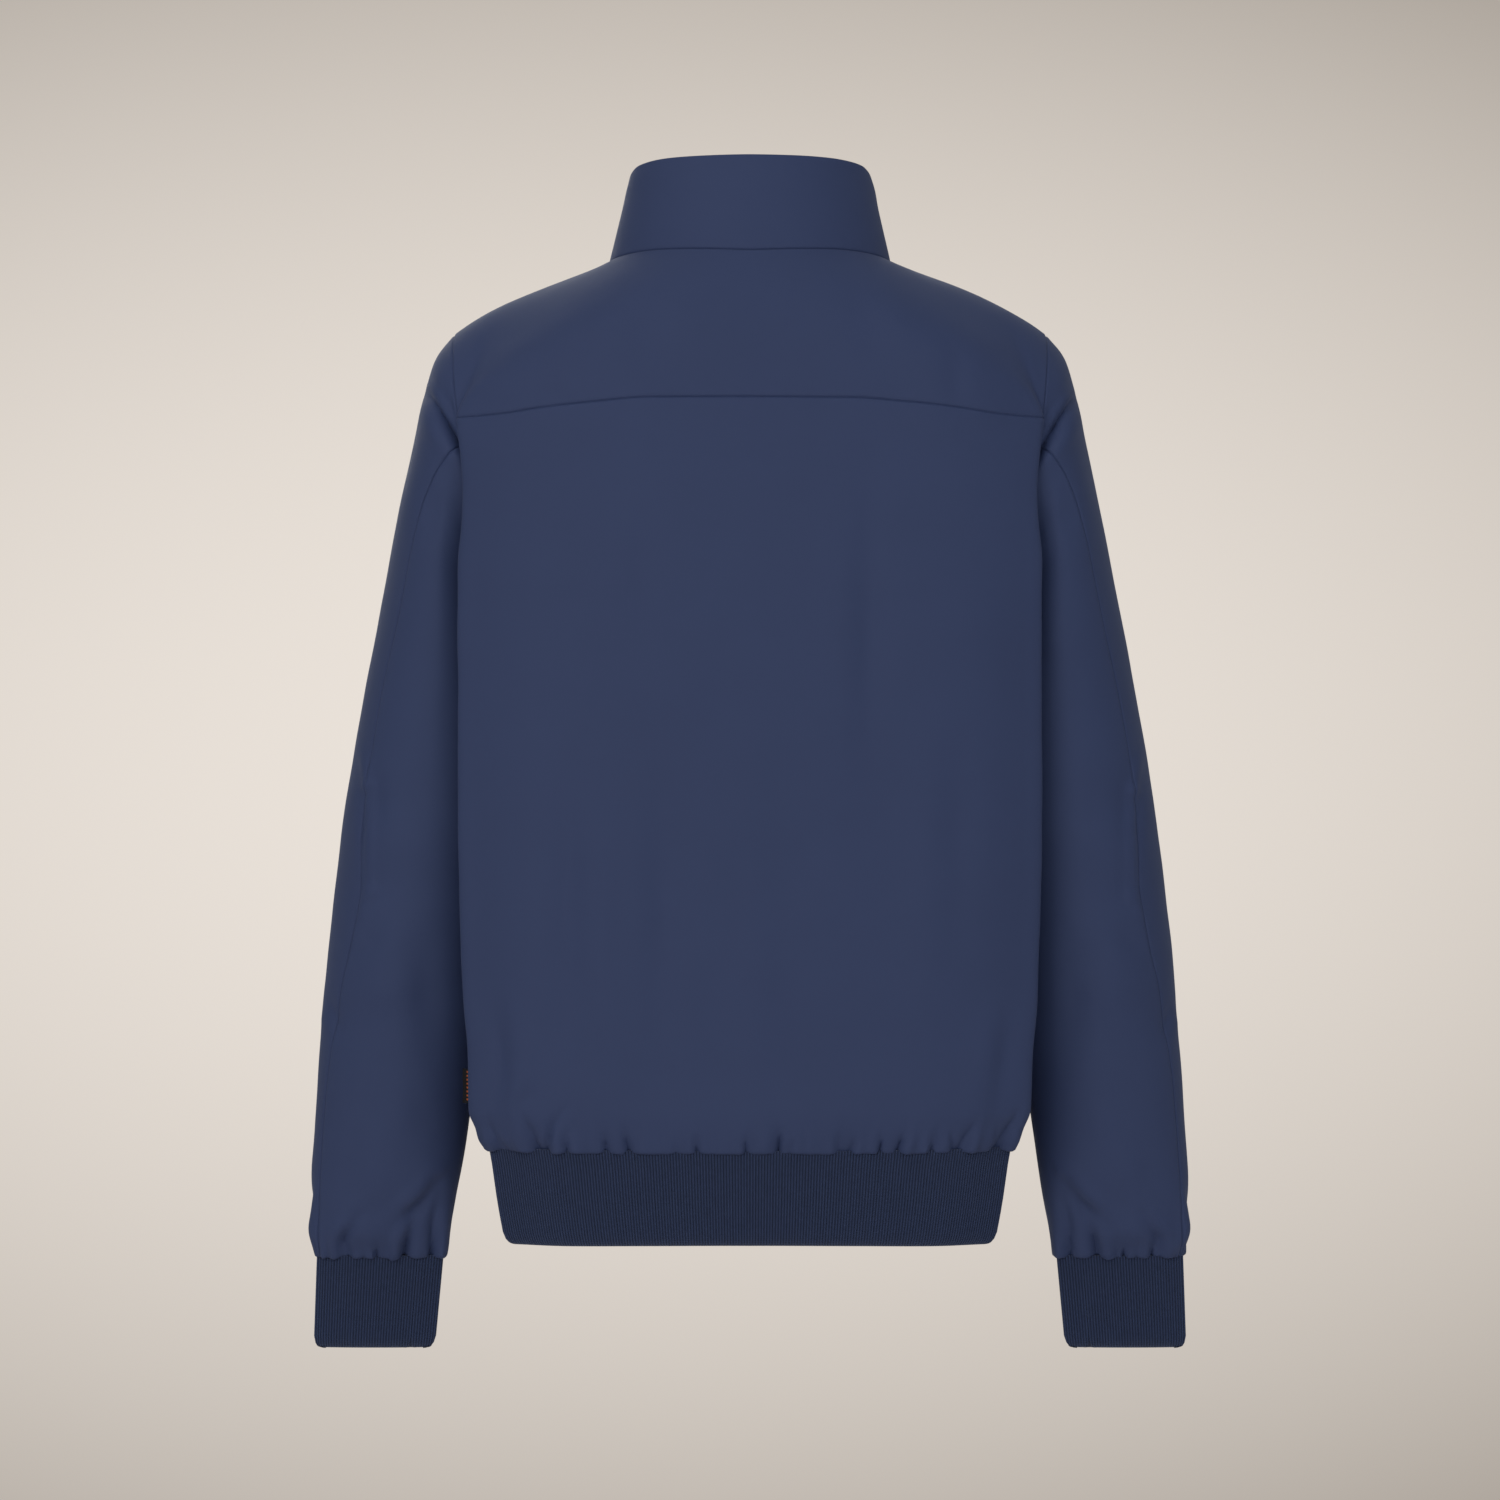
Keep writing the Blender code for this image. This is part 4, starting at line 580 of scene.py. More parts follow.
def smooth(value, low, high):
    """Rise smoothly from 0 at low to 1 at high."""
    share = np.clip((value - low) / (high - low), 0, 1)
    return share * share * (3 - 2 * share)


def unit(vectors):
    """Vectors of length one."""
    return vectors / np.maximum(np.linalg.norm(vectors, axis=-1, keepdims=True), 1e-9)


def bell(distance, reach):
    """A soft bump that is 1 at no distance and has died away at twice its reach."""
    return np.exp(-((distance / reach) ** 2))


def run_along(points):
    """Distance along a line of points, from its first."""
    return np.concatenate(([0.0], np.cumsum(np.linalg.norm(np.diff(points, axis=0), axis=1))))


def spread(rows, columns):
    """Values that go with each row and each column, over a whole grid."""
    return rows[:, None] + 0 * columns[None, :], columns[None, :] + 0 * rows[:, None]


def both_sides(half):
    """A grid of the wearer's left half, from the middle out, made whole from left to right."""
    return np.concatenate((half[:, ::-1], (half * MIRROR)[:, 1:]), axis=1)


def body_outline(height):
    """The points that a level section of the left half passes through, from centre back to front."""
    column = {name: read(BODY_SECTIONS, "height", name, height) for name in Section._fields[1:]}
    edge, tip, back = column["edge"], column["tip"], column["back"]
    hollow_x, hollow_y, side, front = (column[name] for name in ("hollow_x", "hollow_y", "side", "front"))
    points = (
        (0 * edge, back),
        (0.42 * edge, back - 2),
        (0.76 * edge, back - 10),
        (0.93 * edge, tip + 9),
        (edge, tip),
        (edge - 0.2 * (edge - hollow_x), tip - 0.45 * (tip - hollow_y)),
        (hollow_x, hollow_y),
        (side + 0.35 * (hollow_x - side), 0 * edge + 18),
        (side, 0 * edge - 14),
        (side - 1, 0 * edge - 48),
        (side - 14, -0.68 * front),
        (0.70 * side, -0.90 * front),
        (0.36 * side, -0.985 * front),
        (0 * edge, -front),
    )
    return np.stack([np.stack(point, axis=-1) for point in points], axis=-2)


def body_point(height, share):
    """A point on the body's outer face, from centre back (0) to centre front (1)."""
    height = np.asarray(height, float) + 0 * np.asarray(share, float)
    flat = along(body_outline(height), share + 0 * height)
    return np.concatenate((flat, height[..., None]), axis=-1)


def share_where(height, axis, value, low, high):
    """The share at which the section falls through a value of x or y, between two shares."""
    low = low + 0 * height
    high = high + 0 * height
    for _ in range(34):
        middle = 0.5 * (low + high)
        beyond = body_point(height, middle)[..., axis] < value
        high = np.where(beyond, middle, high)
        low = np.where(beyond, low, middle)
    return 0.5 * (low + high)


def sleeve_point(ring, angle):
    """A point on the left sleeve's outer face, by ring number and by angle in degrees from outside."""
    index = np.arange(len(SLEEVE_RINGS))
    columns = zip(Ring._fields, zip(*SLEEVE_RINGS))
    return ring_point({name: through(ring, index, values) for name, values in columns}, angle)


def ring_point(column, angle):
    """A point on one ring, from its named sizes."""
    cos = np.cos(np.radians(angle))
    sin = np.sin(np.radians(angle))
    reach = np.where(sin > 0, column["back_out"], -column["front_in"]) * sin * sin
    x = 0.5 * (column["outer_x"] * (1 + cos) + column["inner_x"] * (1 - cos)) + reach
    z = 0.5 * (column["outer_z"] * (1 + cos) + column["inner_z"] * (1 - cos))
    y = np.where(sin > 0, column["back"], column["front"]) * sin * (1 - column["pinch"] * np.clip(-cos, 0, 1))
    return np.stack((x, y, z), axis=-1)


def armhole(angle):
    """A point on the armhole seam, by its angle from the shoulder point."""
    angle = np.asarray(angle, float)
    return sleeve_point(0 * angle, angle)


def armhole_angle(height):
    """The angle at which the armhole seam passes a height."""
    top, foot = SLEEVE_RINGS[0].outer_z, SLEEVE_RINGS[0].inner_z
    return np.degrees(np.arccos(np.clip((2 * np.asarray(height, float) - top - foot) / (top - foot), -1, 1)))


def seam_table():
    """Heights with the shares at which back, front and zip edge end there, read once."""
    above = ARMPIT + np.linspace(0, 1, 400) ** 2 * (-88.0 - ARMPIT)
    height = np.concatenate((np.arange(-690.0, ARMPIT, 1.0), above))
    under_arm = read(BODY_SECTIONS, "height", "seam", height)
    shares = []
    for side in (1, -1):
        edge_y = np.where(height < ARMPIT, under_arm, armhole(side * armhole_angle(height))[..., 1])
        shares.append(share_where(height, 1, edge_y, 0.02, 0.98))
    return height, shares[0], shares[1], share_where(height, 0, FRONT_EDGE, 0.8, 1.0)


SEAMS = seam_table()


def back_panel_point(height, across):
    """A point on the back, by height and by share from the middle (0) to its outer edge (1)."""
    end = np.interp(height, SEAMS[0], SEAMS[1])
    miss = armhole(armhole_angle(height)) - body_point(height, end)
    weight = np.where(height >= ARMPIT, np.abs(across) ** 6, 0.0)
    return body_point(height, across * end) + miss * weight[..., None]


def front_panel_point(height, across):
    """A point on the front, by height and by share from the side (0) to the zip (1)."""
    start = np.interp(height, SEAMS[0], SEAMS[2])
    end = np.interp(height, SEAMS[0], SEAMS[3])
    miss = armhole(-armhole_angle(height)) - body_point(height, start)
    weight = np.where(height >= ARMPIT, (1 - across) ** 6, 0.0)
    return body_point(height, start + across * (end - start)) + miss * weight[..., None]


def neck_point(angle):
    """A point on the neck seam, by its angle from the centre back."""
    turn = np.radians(angle)
    depth = np.where(np.cos(turn) > 0, NECK_BACK_DEPTH, NECK_FRONT_DEPTH)
    height = read(NECK, "angle", "height", angle)
    return np.stack((NECK_HALF_WIDTH * np.sin(turn), depth * np.cos(turn), height), axis=-1)


def collar_point(angle, share):
    """A point on the collar, by angle and by share from the neck seam to the top edge."""
    turn = np.radians(angle)
    depth = np.where(np.cos(turn) > 0, COLLAR_BACK_DEPTH, COLLAR_FRONT_DEPTH)
    height = read(NECK, "angle", "top", angle)
    top = np.stack((COLLAR_HALF_WIDTH * np.sin(turn), depth * np.cos(turn), height), axis=-1)
    return neck_point(angle) + (top - neck_point(angle)) * np.asarray(share)[..., None]


def front_neck_angle():
    """The neck angle at which the zip's edge stands."""
    return 180.0 - math.degrees(math.asin(FRONT_EDGE / NECK_HALF_WIDTH))


def yoke_outer(share):
    """The yoke's outer seam: across the back to the armhole, then over the shoulder to the front."""
    share = np.asarray(share, float)
    across = np.clip(share / YOKE_SEAM_SHARE, 0, 1)
    height = YOKE_CORNER + 0 * across
    for _ in range(3):
        height = read(YOKE_SEAM, "across", "height", back_panel_point(height, across)[..., 0])
    seam = back_panel_point(height, across)
    knots = (YOKE_SEAM_SHARE, YOKE_RIDGE_SHARE, 1.0)
    angle = through(share, knots, (YOKE_BACK_ANGLE, 0.0, YOKE_FRONT_ANGLE))
    return np.where((share <= YOKE_SEAM_SHARE)[..., None], seam, armhole(angle))


def yoke_point(share, down):
    """A point on the yoke, by share along it and by share down from the neck to the outer seam."""
    neck_angle = read(YOKE_LINES, "share", "neck", share)
    slope = np.radians(read(YOKE_LINES, "share", "slope", share))
    turn = np.radians(neck_angle)
    start = neck_point(neck_angle)
    end = yoke_outer(share)
    leave = np.stack((np.sin(turn) * np.cos(slope), np.cos(turn) * np.cos(slope), -np.sin(slope)), axis=-1)
    axes = YokeLine._fields[3:]
    arrive = unit(np.stack([read(YOKE_LINES, "share", axis, share) for axis in axes], axis=-1))
    length = np.linalg.norm(end - start, axis=-1, keepdims=True)
    return hermite(start, end, leave * length, arrive * length, np.asarray(down)[..., None])


def front_top(across):
    """The top edge of a front: along the yoke's front seam to the neck, then round to the zip."""
    down = 1 - np.clip(across / FRONT_CORNER_SHARE, 0, 1)
    share = np.clip((across - FRONT_CORNER_SHARE) / (1 - FRONT_CORNER_SHARE), 0, 1)
    turned = NECK_CORNER_ANGLE + (front_neck_angle() - NECK_CORNER_ANGLE) * share
    return np.where(
        (across <= FRONT_CORNER_SHARE)[..., None], yoke_point(1.0 + 0 * across, down), neck_point(turned)
    )


def chest_rise(up, across):
    """The smooth rise from the chest line to a front's top edge."""
    chest = armhole(SLEEVE_FRONT_ANGLE)[2] + 0 * across
    start = front_panel_point(chest, across)
    leave = unit(start - front_panel_point(chest - 4.0, across))
    end = front_top(across)
    down = 1 - np.clip(across / FRONT_CORNER_SHARE, 0, 1)
    over = unit(yoke_point(0.96 + 0 * across, down) - yoke_point(1.0 + 0 * across, down))
    middle = unit(np.array((0.0, 0.55, 0.83)))
    share = np.clip((across - FRONT_CORNER_SHARE) / (1 - FRONT_CORNER_SHARE), 0, 1)[..., None]
    arrive = unit(over + (middle - over) * share ** 0.6)
    length = np.linalg.norm(end - start, axis=-1, keepdims=True)
    return hermite(start, end, leave * length, arrive * length, up[..., None])


def chest_point(up, across):
    """A point on the upper front, by share up from the chest line and across from armhole to zip."""
    angle = SLEEVE_FRONT_ANGLE + (YOKE_FRONT_ANGLE - SLEEVE_FRONT_ANGLE) * up
    miss = armhole(angle) - chest_rise(up, 0 * across)
    return chest_rise(up, across) + miss * ((1 - across) ** 4)[..., None]


# ---- Grids of the panels ----------------------------------------------------------------------------


def lines(length, start=0.0, end=1.0, step=None):
    """Shares from start to end for the mesh lines over a length in mm, close together at both seams."""
    step = step or mm(sizes().step)
    near = SEAM_LINES
    count = max(int(round((length - 2 * near[-1] - step) / step)), 2)
    inner = np.linspace(near[-1] + step * 0.6, length - near[-1] - step * 0.6, count)
    places = np.concatenate((near, inner, length - near[::-1]))
    return start + (end - start) * places / length


def corner_softened(grid, shares):
    """Let the corner between back and side fade out up the yoke instead of running to the neck."""
    distances = edge_distances(grid)
    window = smooth(shares, 0.26, 0.36) * (1 - smooth(shares, 0.58, 0.72))
    soft = grid.copy()
    for row in range(1, len(grid) - 1):
        run = distances["first"][row]
        reach = YOKE_SOFTNESS * smooth(distances["foot"][row].mean(), 0.0, 42.0)
        reach = 0.4 + reach * smooth(distances["top"][row].mean(), 0.0, 26.0)
        weight = np.exp(-0.5 * ((run[:, None] - run[None, :]) / reach) ** 2) * np.gradient(run)
        weight /= weight.sum(axis=1, keepdims=True)
        even = weight @ grid[row]
        even += weight @ (grid[row] - even)
        soft[row] += window[:, None] * (even - grid[row])
    return soft


def evened(grid, rounds):
    """Soften kinks inside a grid while its edges stay and its broad form keeps its size."""
    grid = grid.copy()
    for _ in range(rounds):
        for share in (0.5, -0.53):
            middle = (grid[:-2, 1:-1] + grid[2:, 1:-1] + grid[1:-1, :-2] + grid[1:-1, 2:]) / 4
            grid[1:-1, 1:-1] += share * (middle - grid[1:-1, 1:-1])
    return grid


def normals(grid):
    """Outward directions on a grid whose rows run up and whose columns run to the outer face's right."""
    return unit(np.cross(np.gradient(grid, axis=1), np.gradient(grid, axis=0)))


def mirrored(grid):
    """The same grid on the wearer's right, with its columns in the outer face's order."""
    return grid[:, ::-1] * MIRROR


def side_heights(arm_end, arm_count):
    """Heights at a body panel's armhole edge: up from the hem seam, then round the armhole."""
    hem = HEM_SEAM + HEM_LINES
    low = np.linspace(hem[-1] + 3.5, ARMPIT, 116)
    arm = armhole(np.linspace(180.0, arm_end, arm_count + 1)[1:])[:, 2]
    return np.concatenate((hem, low, arm))


def back_grid():
    """The lower back, from the wearer's left edge to the right."""
    heights = side_heights(YOKE_BACK_ANGLE, 46)
    heights = np.concatenate((heights[:-1], heights[-1] - SEAM_LINES[3::-1]))
    across = np.concatenate(([0.0], lines(BACK_RUN)[5:]))
    seam = yoke_outer(across * YOKE_SEAM_SHARE)[:, 2]
    lift = np.clip((heights - ARMPIT) / (YOKE_CORNER - ARMPIT), 0, 1)[:, None]
    height = heights[:, None] + (seam - YOKE_CORNER)[None, :] * lift
    return both_sides(back_panel_point(height, across[None, :] + 0 * height))


def yoke_grid():
    """The yoke, from the left front seam round the back to the right front seam, and its shares."""
    shares = np.concatenate((np.linspace(0, 0.5, 76)[:-1], lines(YOKE_RUN, 0.5, 1.0)[5:]))
    down, share = spread(lines(YOKE_FALL)[::-1], shares)
    whole = both_sides(yoke_point(share, down))
    shares = np.concatenate((shares[::-1], shares[1:]))
    return evened(corner_softened(whole, shares), YOKE_SMOOTHING), shares


def front_grid():
    """The left front, from the zip to the side."""
    across = lines(FRONT_RUN)
    low = front_panel_point(*spread(side_heights(-SLEEVE_FRONT_ANGLE, 40), across))
    high = chest_point(*spread(lines(CHEST_RISE)[4:], across))
    return np.concatenate((low, high))[:, ::-1]


def collar_grid():
    """The collar, from the zip round the back to the zip."""
    angles = np.concatenate((np.linspace(0, 165, 90), 165 + lines(26.0, 0, front_neck_angle() - 165)[5:]))
    rim = np.array((2.4, 1.5, 0.9, 0.4, 0.0)) / COLLAR_RISE
    plain = COLLAR_RISE - COLLAR_ROUNDED
    up = lines(plain, 0, plain / COLLAR_RISE)[:-5]
    up = np.concatenate((-COLLAR_ALLOWANCE / COLLAR_RISE, up, 1 - rim))
    up, angles = spread(up, angles)
    return both_sides(collar_point(angles, up))


def sleeve_grids():
    """Upper and under sleeve of the left arm, each with the angle of every point."""
    index = np.arange(len(SLEEVE_RINGS))
    fine = np.linspace(0, index[-1], 1200)
    length = run_along(sleeve_point(fine, 0 * fine))
    places = length[-1] * lines(length[-1])
    places = np.concatenate((places[places < length[-1] - 17.0], length[-1] - HEM_LINES[11::-1]))
    rings = np.interp(places, length, fine)
    back = through(rings, index, [ring.seam for ring in SLEEVE_RINGS])
    front = SLEEVE_FRONT_ANGLE + 0 * rings
    grids = []
    for start, end, width in ((front, back, UPPER_SLEEVE_RUN), (back, 360 + front, UNDER_SLEEVE_RUN)):
        angle = start[:, None] + (end - start)[:, None] * lines(width)[None, :]
        grid = sleeve_point(rings[:, None] + 0 * angle, angle)
        grids.append((grid[::-1], np.where(angle > 180, angle - 360, angle)[::-1]))
    return grids


# ---- Relief on a panel ------------------------------------------------------------------------------


def swelled(grid, place, swells):
    """Push by soft swells and hollows."""
    push = np.zeros(grid.shape[:2])
    for swell in swells:
        round_part = (place - swell.place) / swell.reach_round
        high_part = (grid[..., 2] - swell.height) / swell.reach_high
        push += swell.depth * np.exp(-(round_part ** 2) - high_part ** 2)
    return push


def seen(grid, view):
    """Places on a view's plane and the direction that faces it."""
    x, y, z = grid[..., 0], grid[..., 1], grid[..., 2]
    if view == "back":
        far, level = CAMERA_DISTANCE / MM, CAMERA_HEIGHT / MM
        scale = far / (far - y)
        return np.stack((x * scale, level + (z - level) * scale), axis=-1), np.array((0.0, 1.0, 0.0))
    if view == "front":
        return np.stack((x, z), axis=-1), np.array((0.0, -1.0, 0.0))
    return np.stack((y, z), axis=-1), np.array((1.0, 0.0, 0.0))


def crease_line(points):
    """A smooth line of short straight pieces through a crease's points."""
    points = np.array(points, float)
    if len(points) == 2:
        return points
    share = np.linspace(0, 1, 13)
    return along(points[None] + np.zeros((len(share), 1, 1)), share)


def creased(grid, facing, creases):
    """Push by the creases: a soft trough with a ridge on one side, fading along its length."""
    push = np.zeros(grid.shape[:2])
    places = {view: seen(grid, view) for view in ("back", "front", "out")}
    share = sizes().crease_share
    for crease in creases:
        flat, toward = places[crease.view]
        line = crease_line(crease.line)
        reach = 4.0 * crease.width
        low, high = line.min(axis=0) - reach, line.max(axis=0) + reach
        near = np.all((flat > low) & (flat < high), axis=-1)
        near &= facing @ toward > 0.02
        if not near.any():
            continue
        spot = flat[near]
        start, step = line[:-1], np.diff(line, axis=0)
        length = np.linalg.norm(step, axis=1)
        run = run_along(line)
        offset = spot[:, None, :] - start[None]
        t = np.clip(np.sum(offset * step, axis=-1) / (length ** 2), 0, 1)
        gap = offset - t[..., None] * step
        distance = np.linalg.norm(gap, axis=-1)
        nearest = np.argmin(distance, axis=1)
        rows = np.arange(len(spot))
        d = distance[rows, nearest]
        chosen = step[nearest]
        cross = chosen[:, 0] * offset[rows, nearest, 1] - chosen[:, 1] * offset[rows, nearest, 0]
        at = (run[nearest] + t[rows, nearest] * length[nearest]) / run[-1]
        strength = np.interp(at, (0.0, 0.5, 1.0), (crease.start, 1.0, crease.end))
        signed = d * np.sign(cross) / crease.width
        ridge = abs(crease.lip) * np.exp(-(((signed * np.sign(crease.lip or 1)) - 1.9) / 1.3) ** 2)
        profile = ridge - bell(d, crease.width)
        weight = smooth(facing[near] @ toward, 0.02, 0.35)
        push[near] += share * crease.depth * profile * strength * weight
    return push


def moved_right(crease):
    """The crease of the right sleeve that matches one of the left."""
    across, up = RIGHT_SLEEVE_SHIFT
    if crease.view == "out":
        across = 2 * across
    line = tuple((x + across, z + (up if z > -640 else 0.0)) for x, z in crease.line)
    return crease._replace(line=line, depth=crease.depth * RIGHT_SLEEVE_SHARE)


def fine_waves(grid, wave, height, seed):
    """Slow uneven waves, the same for neighbours that share a place."""
    flat = (grid / wave + seed).reshape(-1, 3)
    return np.array([noise.noise(Vector(place)) for place in flat]).reshape(grid.shape[:2]) * height


def edge_distances(grid):
    """Distance in mm of each point from the grid's foot, top, first and last column."""
    up = np.linalg.norm(np.diff(grid, axis=0), axis=-1)
    across = np.linalg.norm(np.diff(grid, axis=1), axis=-1)
    foot = np.concatenate((np.zeros((1, grid.shape[1])), np.cumsum(up, axis=0)))
    first = np.concatenate((np.zeros((grid.shape[0], 1)), np.cumsum(across, axis=1)), axis=1)
    return {"foot": foot, "top": foot[-1:] - foot, "first": first, "last": first[:, -1:] - first}


def seam_relief(grid, distances, edges):
    """Raise the cloth beside its seams, which leaves a fine groove with small puckers along it."""
    rise = mm(sizes().seam_dip)
    pucker = fine_waves(grid, 7.0, 1.0, 3.7)
    push = rise + 0 * distances["foot"]
    for edge in edges:
        d = distances[edge]
        push = np.minimum(push, rise * (1 - bell(d, 0.7)))
    for edge in edges:
        d = distances[edge]
        push += 0.22 * pucker * np.exp(-d / 7.0) * smooth(d, 0.0, 2.0)
    return push


def sewn_fade(distances, edges):
    """Fade to nothing at seams where the neighbour stands at another angle."""
    fade = 1.0
    for edge in edges:
        fade = fade * smooth(distances[edge], 0.0, ARMHOLE_FADE)
    return fade


def gather(grid, facing, distance, place, pinches):
    """Puff the cloth out over the band below it and draw it in at the pinches."""
    held = np.ones(place.shape)
    for pinch in pinches:
        held *= 1 - pinch.strength * bell(place - pinch.place, pinch.width)
    held *= 0.8 + 0.2 * np.sin(place * 0.11 + 0.6)
    at = np.stack((place / 9.0, distance / 45.0, 0 * place + 7.5), axis=-1)
    streaks = fine_waves(at, 1.0, 1.0, 2.0) + 0.6 * fine_waves(at * np.array((2.1, 1, 1)), 1.0, 1.0, 9.0)
    level = unit(facing * np.array((1.0, 1.0, 0.0)))
    loose = smooth(distance, 0.0, 3.0)
    tuck = bell(distance, 1.2)
    bulge = mm(sizes().gather_bulge) * (held - 0.35 * (1 - held)) * loose * bell(distance, 13.0) - 1.6 * tuck
    bulge += GATHER_STREAKS * streaks * loose * bell(distance, 17.0)
    drop = smooth(distance, 0.0, 2.2) * bell(distance, 7.0)
    moved = grid + level * bulge[..., None]
    moved[..., 2] += 0.6 * tuck - mm(sizes().gather_drop) * held ** 0.5 * drop
    return moved


# ---- Making meshes ----------------------------------------------------------------------------------


def grid_faces(rows, columns, start=0, flip=False, closed=False, looped=False):
    """Four-sided faces over a grid of points, joined up round its columns or its rows if asked."""
    index = start + np.arange(rows * columns).reshape(rows, columns)
    if closed:
        index = np.concatenate((index, index[:, :1]), axis=1)
    if looped:
        index = np.concatenate((index, index[:1]), axis=0)
    quads = np.stack((index[:-1, :-1], index[:-1, 1:], index[1:, 1:], index[1:, :-1]), axis=-1).reshape(-1, 4)
    return quads[:, ::-1] if flip else quads


def make_object(name, points, faces, look, smooth_angle=None):
    """One object from points in millimetres."""
    mesh = bpy.data.meshes.new(name)
    mesh.from_pydata((np.asarray(points, float) * MM).tolist(), [], [list(map(int, face)) for face in faces])
    mesh.validate()
    mesh.materials.append(look)
    mesh.shade_smooth()
    if smooth_angle is not None:
        mesh.set_sharp_from_angle(angle=math.radians(smooth_angle))
    made = bpy.data.objects.new(name, mesh)
    bpy.context.scene.collection.objects.link(made)
    return made


def border(rows, columns):
    """The indices round a grid, anticlockwise from its first point."""
    index = np.arange(rows * columns).reshape(rows, columns)
    return np.concatenate((index[0, :-1], index[:-1, -1], index[-1, :0:-1], index[:0:-1, 0]))


def closed_shell(name, outer, inner, look, smooth_angle):
    """A closed shell from its outer and inner faces, joined round their edges."""
    rows, columns = outer.shape[:2]
    count = rows * columns
    ring = border(rows, columns)
    after = np.roll(ring, -1)
    rim = np.stack((after, ring, ring + count, after + count), axis=-1)
    faces = (grid_faces(rows, columns), grid_faces(rows, columns, count, flip=True), rim)
    points = np.concatenate((outer.reshape(-1, 3), inner.reshape(-1, 3)))
    return make_object(name, points, np.concatenate(faces), look, smooth_angle=smooth_angle)


def cloth_shell(name, outer, thickness, look):
    """A thin closed shell whose inner face lies a thickness under its outer one."""
    inner = outer - normals(outer) * np.asarray(thickness)[..., None]
    return closed_shell(name, outer, inner, look, 60)


def panel_thickness(distances, edges):
    """The cloth's thickness over a panel, with the allowances turned in at its seams."""
    cloth = mm(sizes().cloth)
    turned = 0 * distances["foot"]
    for edge in edges:
        turned = np.maximum(turned, bell(distances[edge], 0.6))
    return cloth + (TURNED_IN - cloth) * turned


def measured(grid):
    """Width, length and area of a grid, in metres, for its flat cut."""
    up = np.linalg.norm(np.diff(grid, axis=0), axis=-1).sum(axis=0).max() * MM
    across = np.linalg.norm(np.diff(grid, axis=1), axis=-1).sum(axis=1).max() * MM
    first = np.diff(grid, axis=0)[:, :-1]
    second = np.diff(grid, axis=1)[:-1]
    area = np.linalg.norm(np.cross(first, second), axis=-1).sum() * MM * MM
    return float(across), float(up), float(area)


def declare_cloth(piece, grid, nodes):
    """Ride on the jacket and stand for the solids; the flat cut is measured but not kept."""
    width, length, area = measured(grid)
    width, length = round(width, 4), round(length, 4)
    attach(piece, BODY)
    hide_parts(*nodes)


# ---- Materials --------------------------------------------------------------------------------------


def fill(tree, node, inputs):
    """Set a node's inputs to values, or join them to sockets."""
    for key, value in inputs.items():
        if isinstance(value, bpy.types.NodeSocket):
            tree.links.new(value, node.inputs[key])
        else:
            node.inputs[key].default_value = value


def add_node(tree, kind, inputs=None, **settings):
    """A node with its settings and its inputs."""
    node = tree.nodes.new(kind)
    for key, value in settings.items():
        setattr(node, key, value)
    fill(tree, node, inputs or {})
    return node


def maths(tree, operation, *values):
    """One sum with sockets or numbers."""
    return add_node(tree, "ShaderNodeMath", dict(enumerate(values)), operation=operation).outputs[0]


def clouds(tree, places, scale, detail, roughness):
    """Cloudy noise."""
    inputs = {"Vector": places, "Scale": scale, "Detail": detail, "Roughness": roughness}
    return add_node(tree, "ShaderNodeTexNoise", inputs).outputs["Fac"]


def mixed(tree, share, first, second):
    """One colour turned into another by a share."""
    return add_node(tree, "ShaderNodeMix", {0: share, 6: first, 7: second}, data_type="RGBA").outputs[2]


def ranged(tree, value, **limits):
    """A value moved from one range to another."""
    inputs = {key.replace("_", " "): limit for key, limit in limits.items()}
    return add_node(tree, "ShaderNodeMapRange", {"Value": value, **inputs}).outputs["Result"]


def varied_colour(tree, places, colour, scale, amount, detail=3.0):
    """A colour that wanders a little either side of itself."""
    low = [channel * (1 - amount) for channel in colour]
    high = [min(channel * (1 + amount), 1) for channel in colour]
    return mixed(tree, clouds(tree, places, scale, detail, 0.6), (*low, 1), (*high, 1))


def bumped(tree, heights, strength, distance):
    """Height fields joined into one bump; heights are (socket, share) pairs."""
    total, *others = [maths(tree, "MULTIPLY", socket, share) for socket, share in heights]
    for other in others:
        total = maths(tree, "ADD", total, other)
    inputs = {"Strength": strength, "Distance": distance, "Height": total}
    return add_node(tree, "ShaderNodeBump", inputs).outputs["Normal"]


def threads(tree, places, scale, distortion, across=False):
    """Fine parallel threads that run up the panels, or across them."""
    turn = (0.0, math.radians(90 if across else 0), 0.0)
    turned = add_node(tree, "ShaderNodeMapping", {"Vector": places, "Rotation": turn}).outputs["Vector"]
    inputs = {"Vector": turned, "Scale": scale, "Distortion": distortion, "Detail": 2.0, "Detail Scale": 1.5}
    return add_node(tree, "ShaderNodeTexWave", inputs).outputs["Fac"]


def finish(paint):
    """Turn a function that gives the shader's inputs into one that gives a named material, made once."""

    def named(name, *values):
        found = bpy.data.materials.get(name)
        if found:
            return found
        made = bpy.data.materials.new(name)
        made.use_nodes = True
        tree = made.node_tree
        places = add_node(tree, "ShaderNodeTexCoord").outputs["Object"]
        shader = tree.nodes["Principled BSDF"]
        fill(tree, shader, paint(tree, places, *values))
        return made

    return named


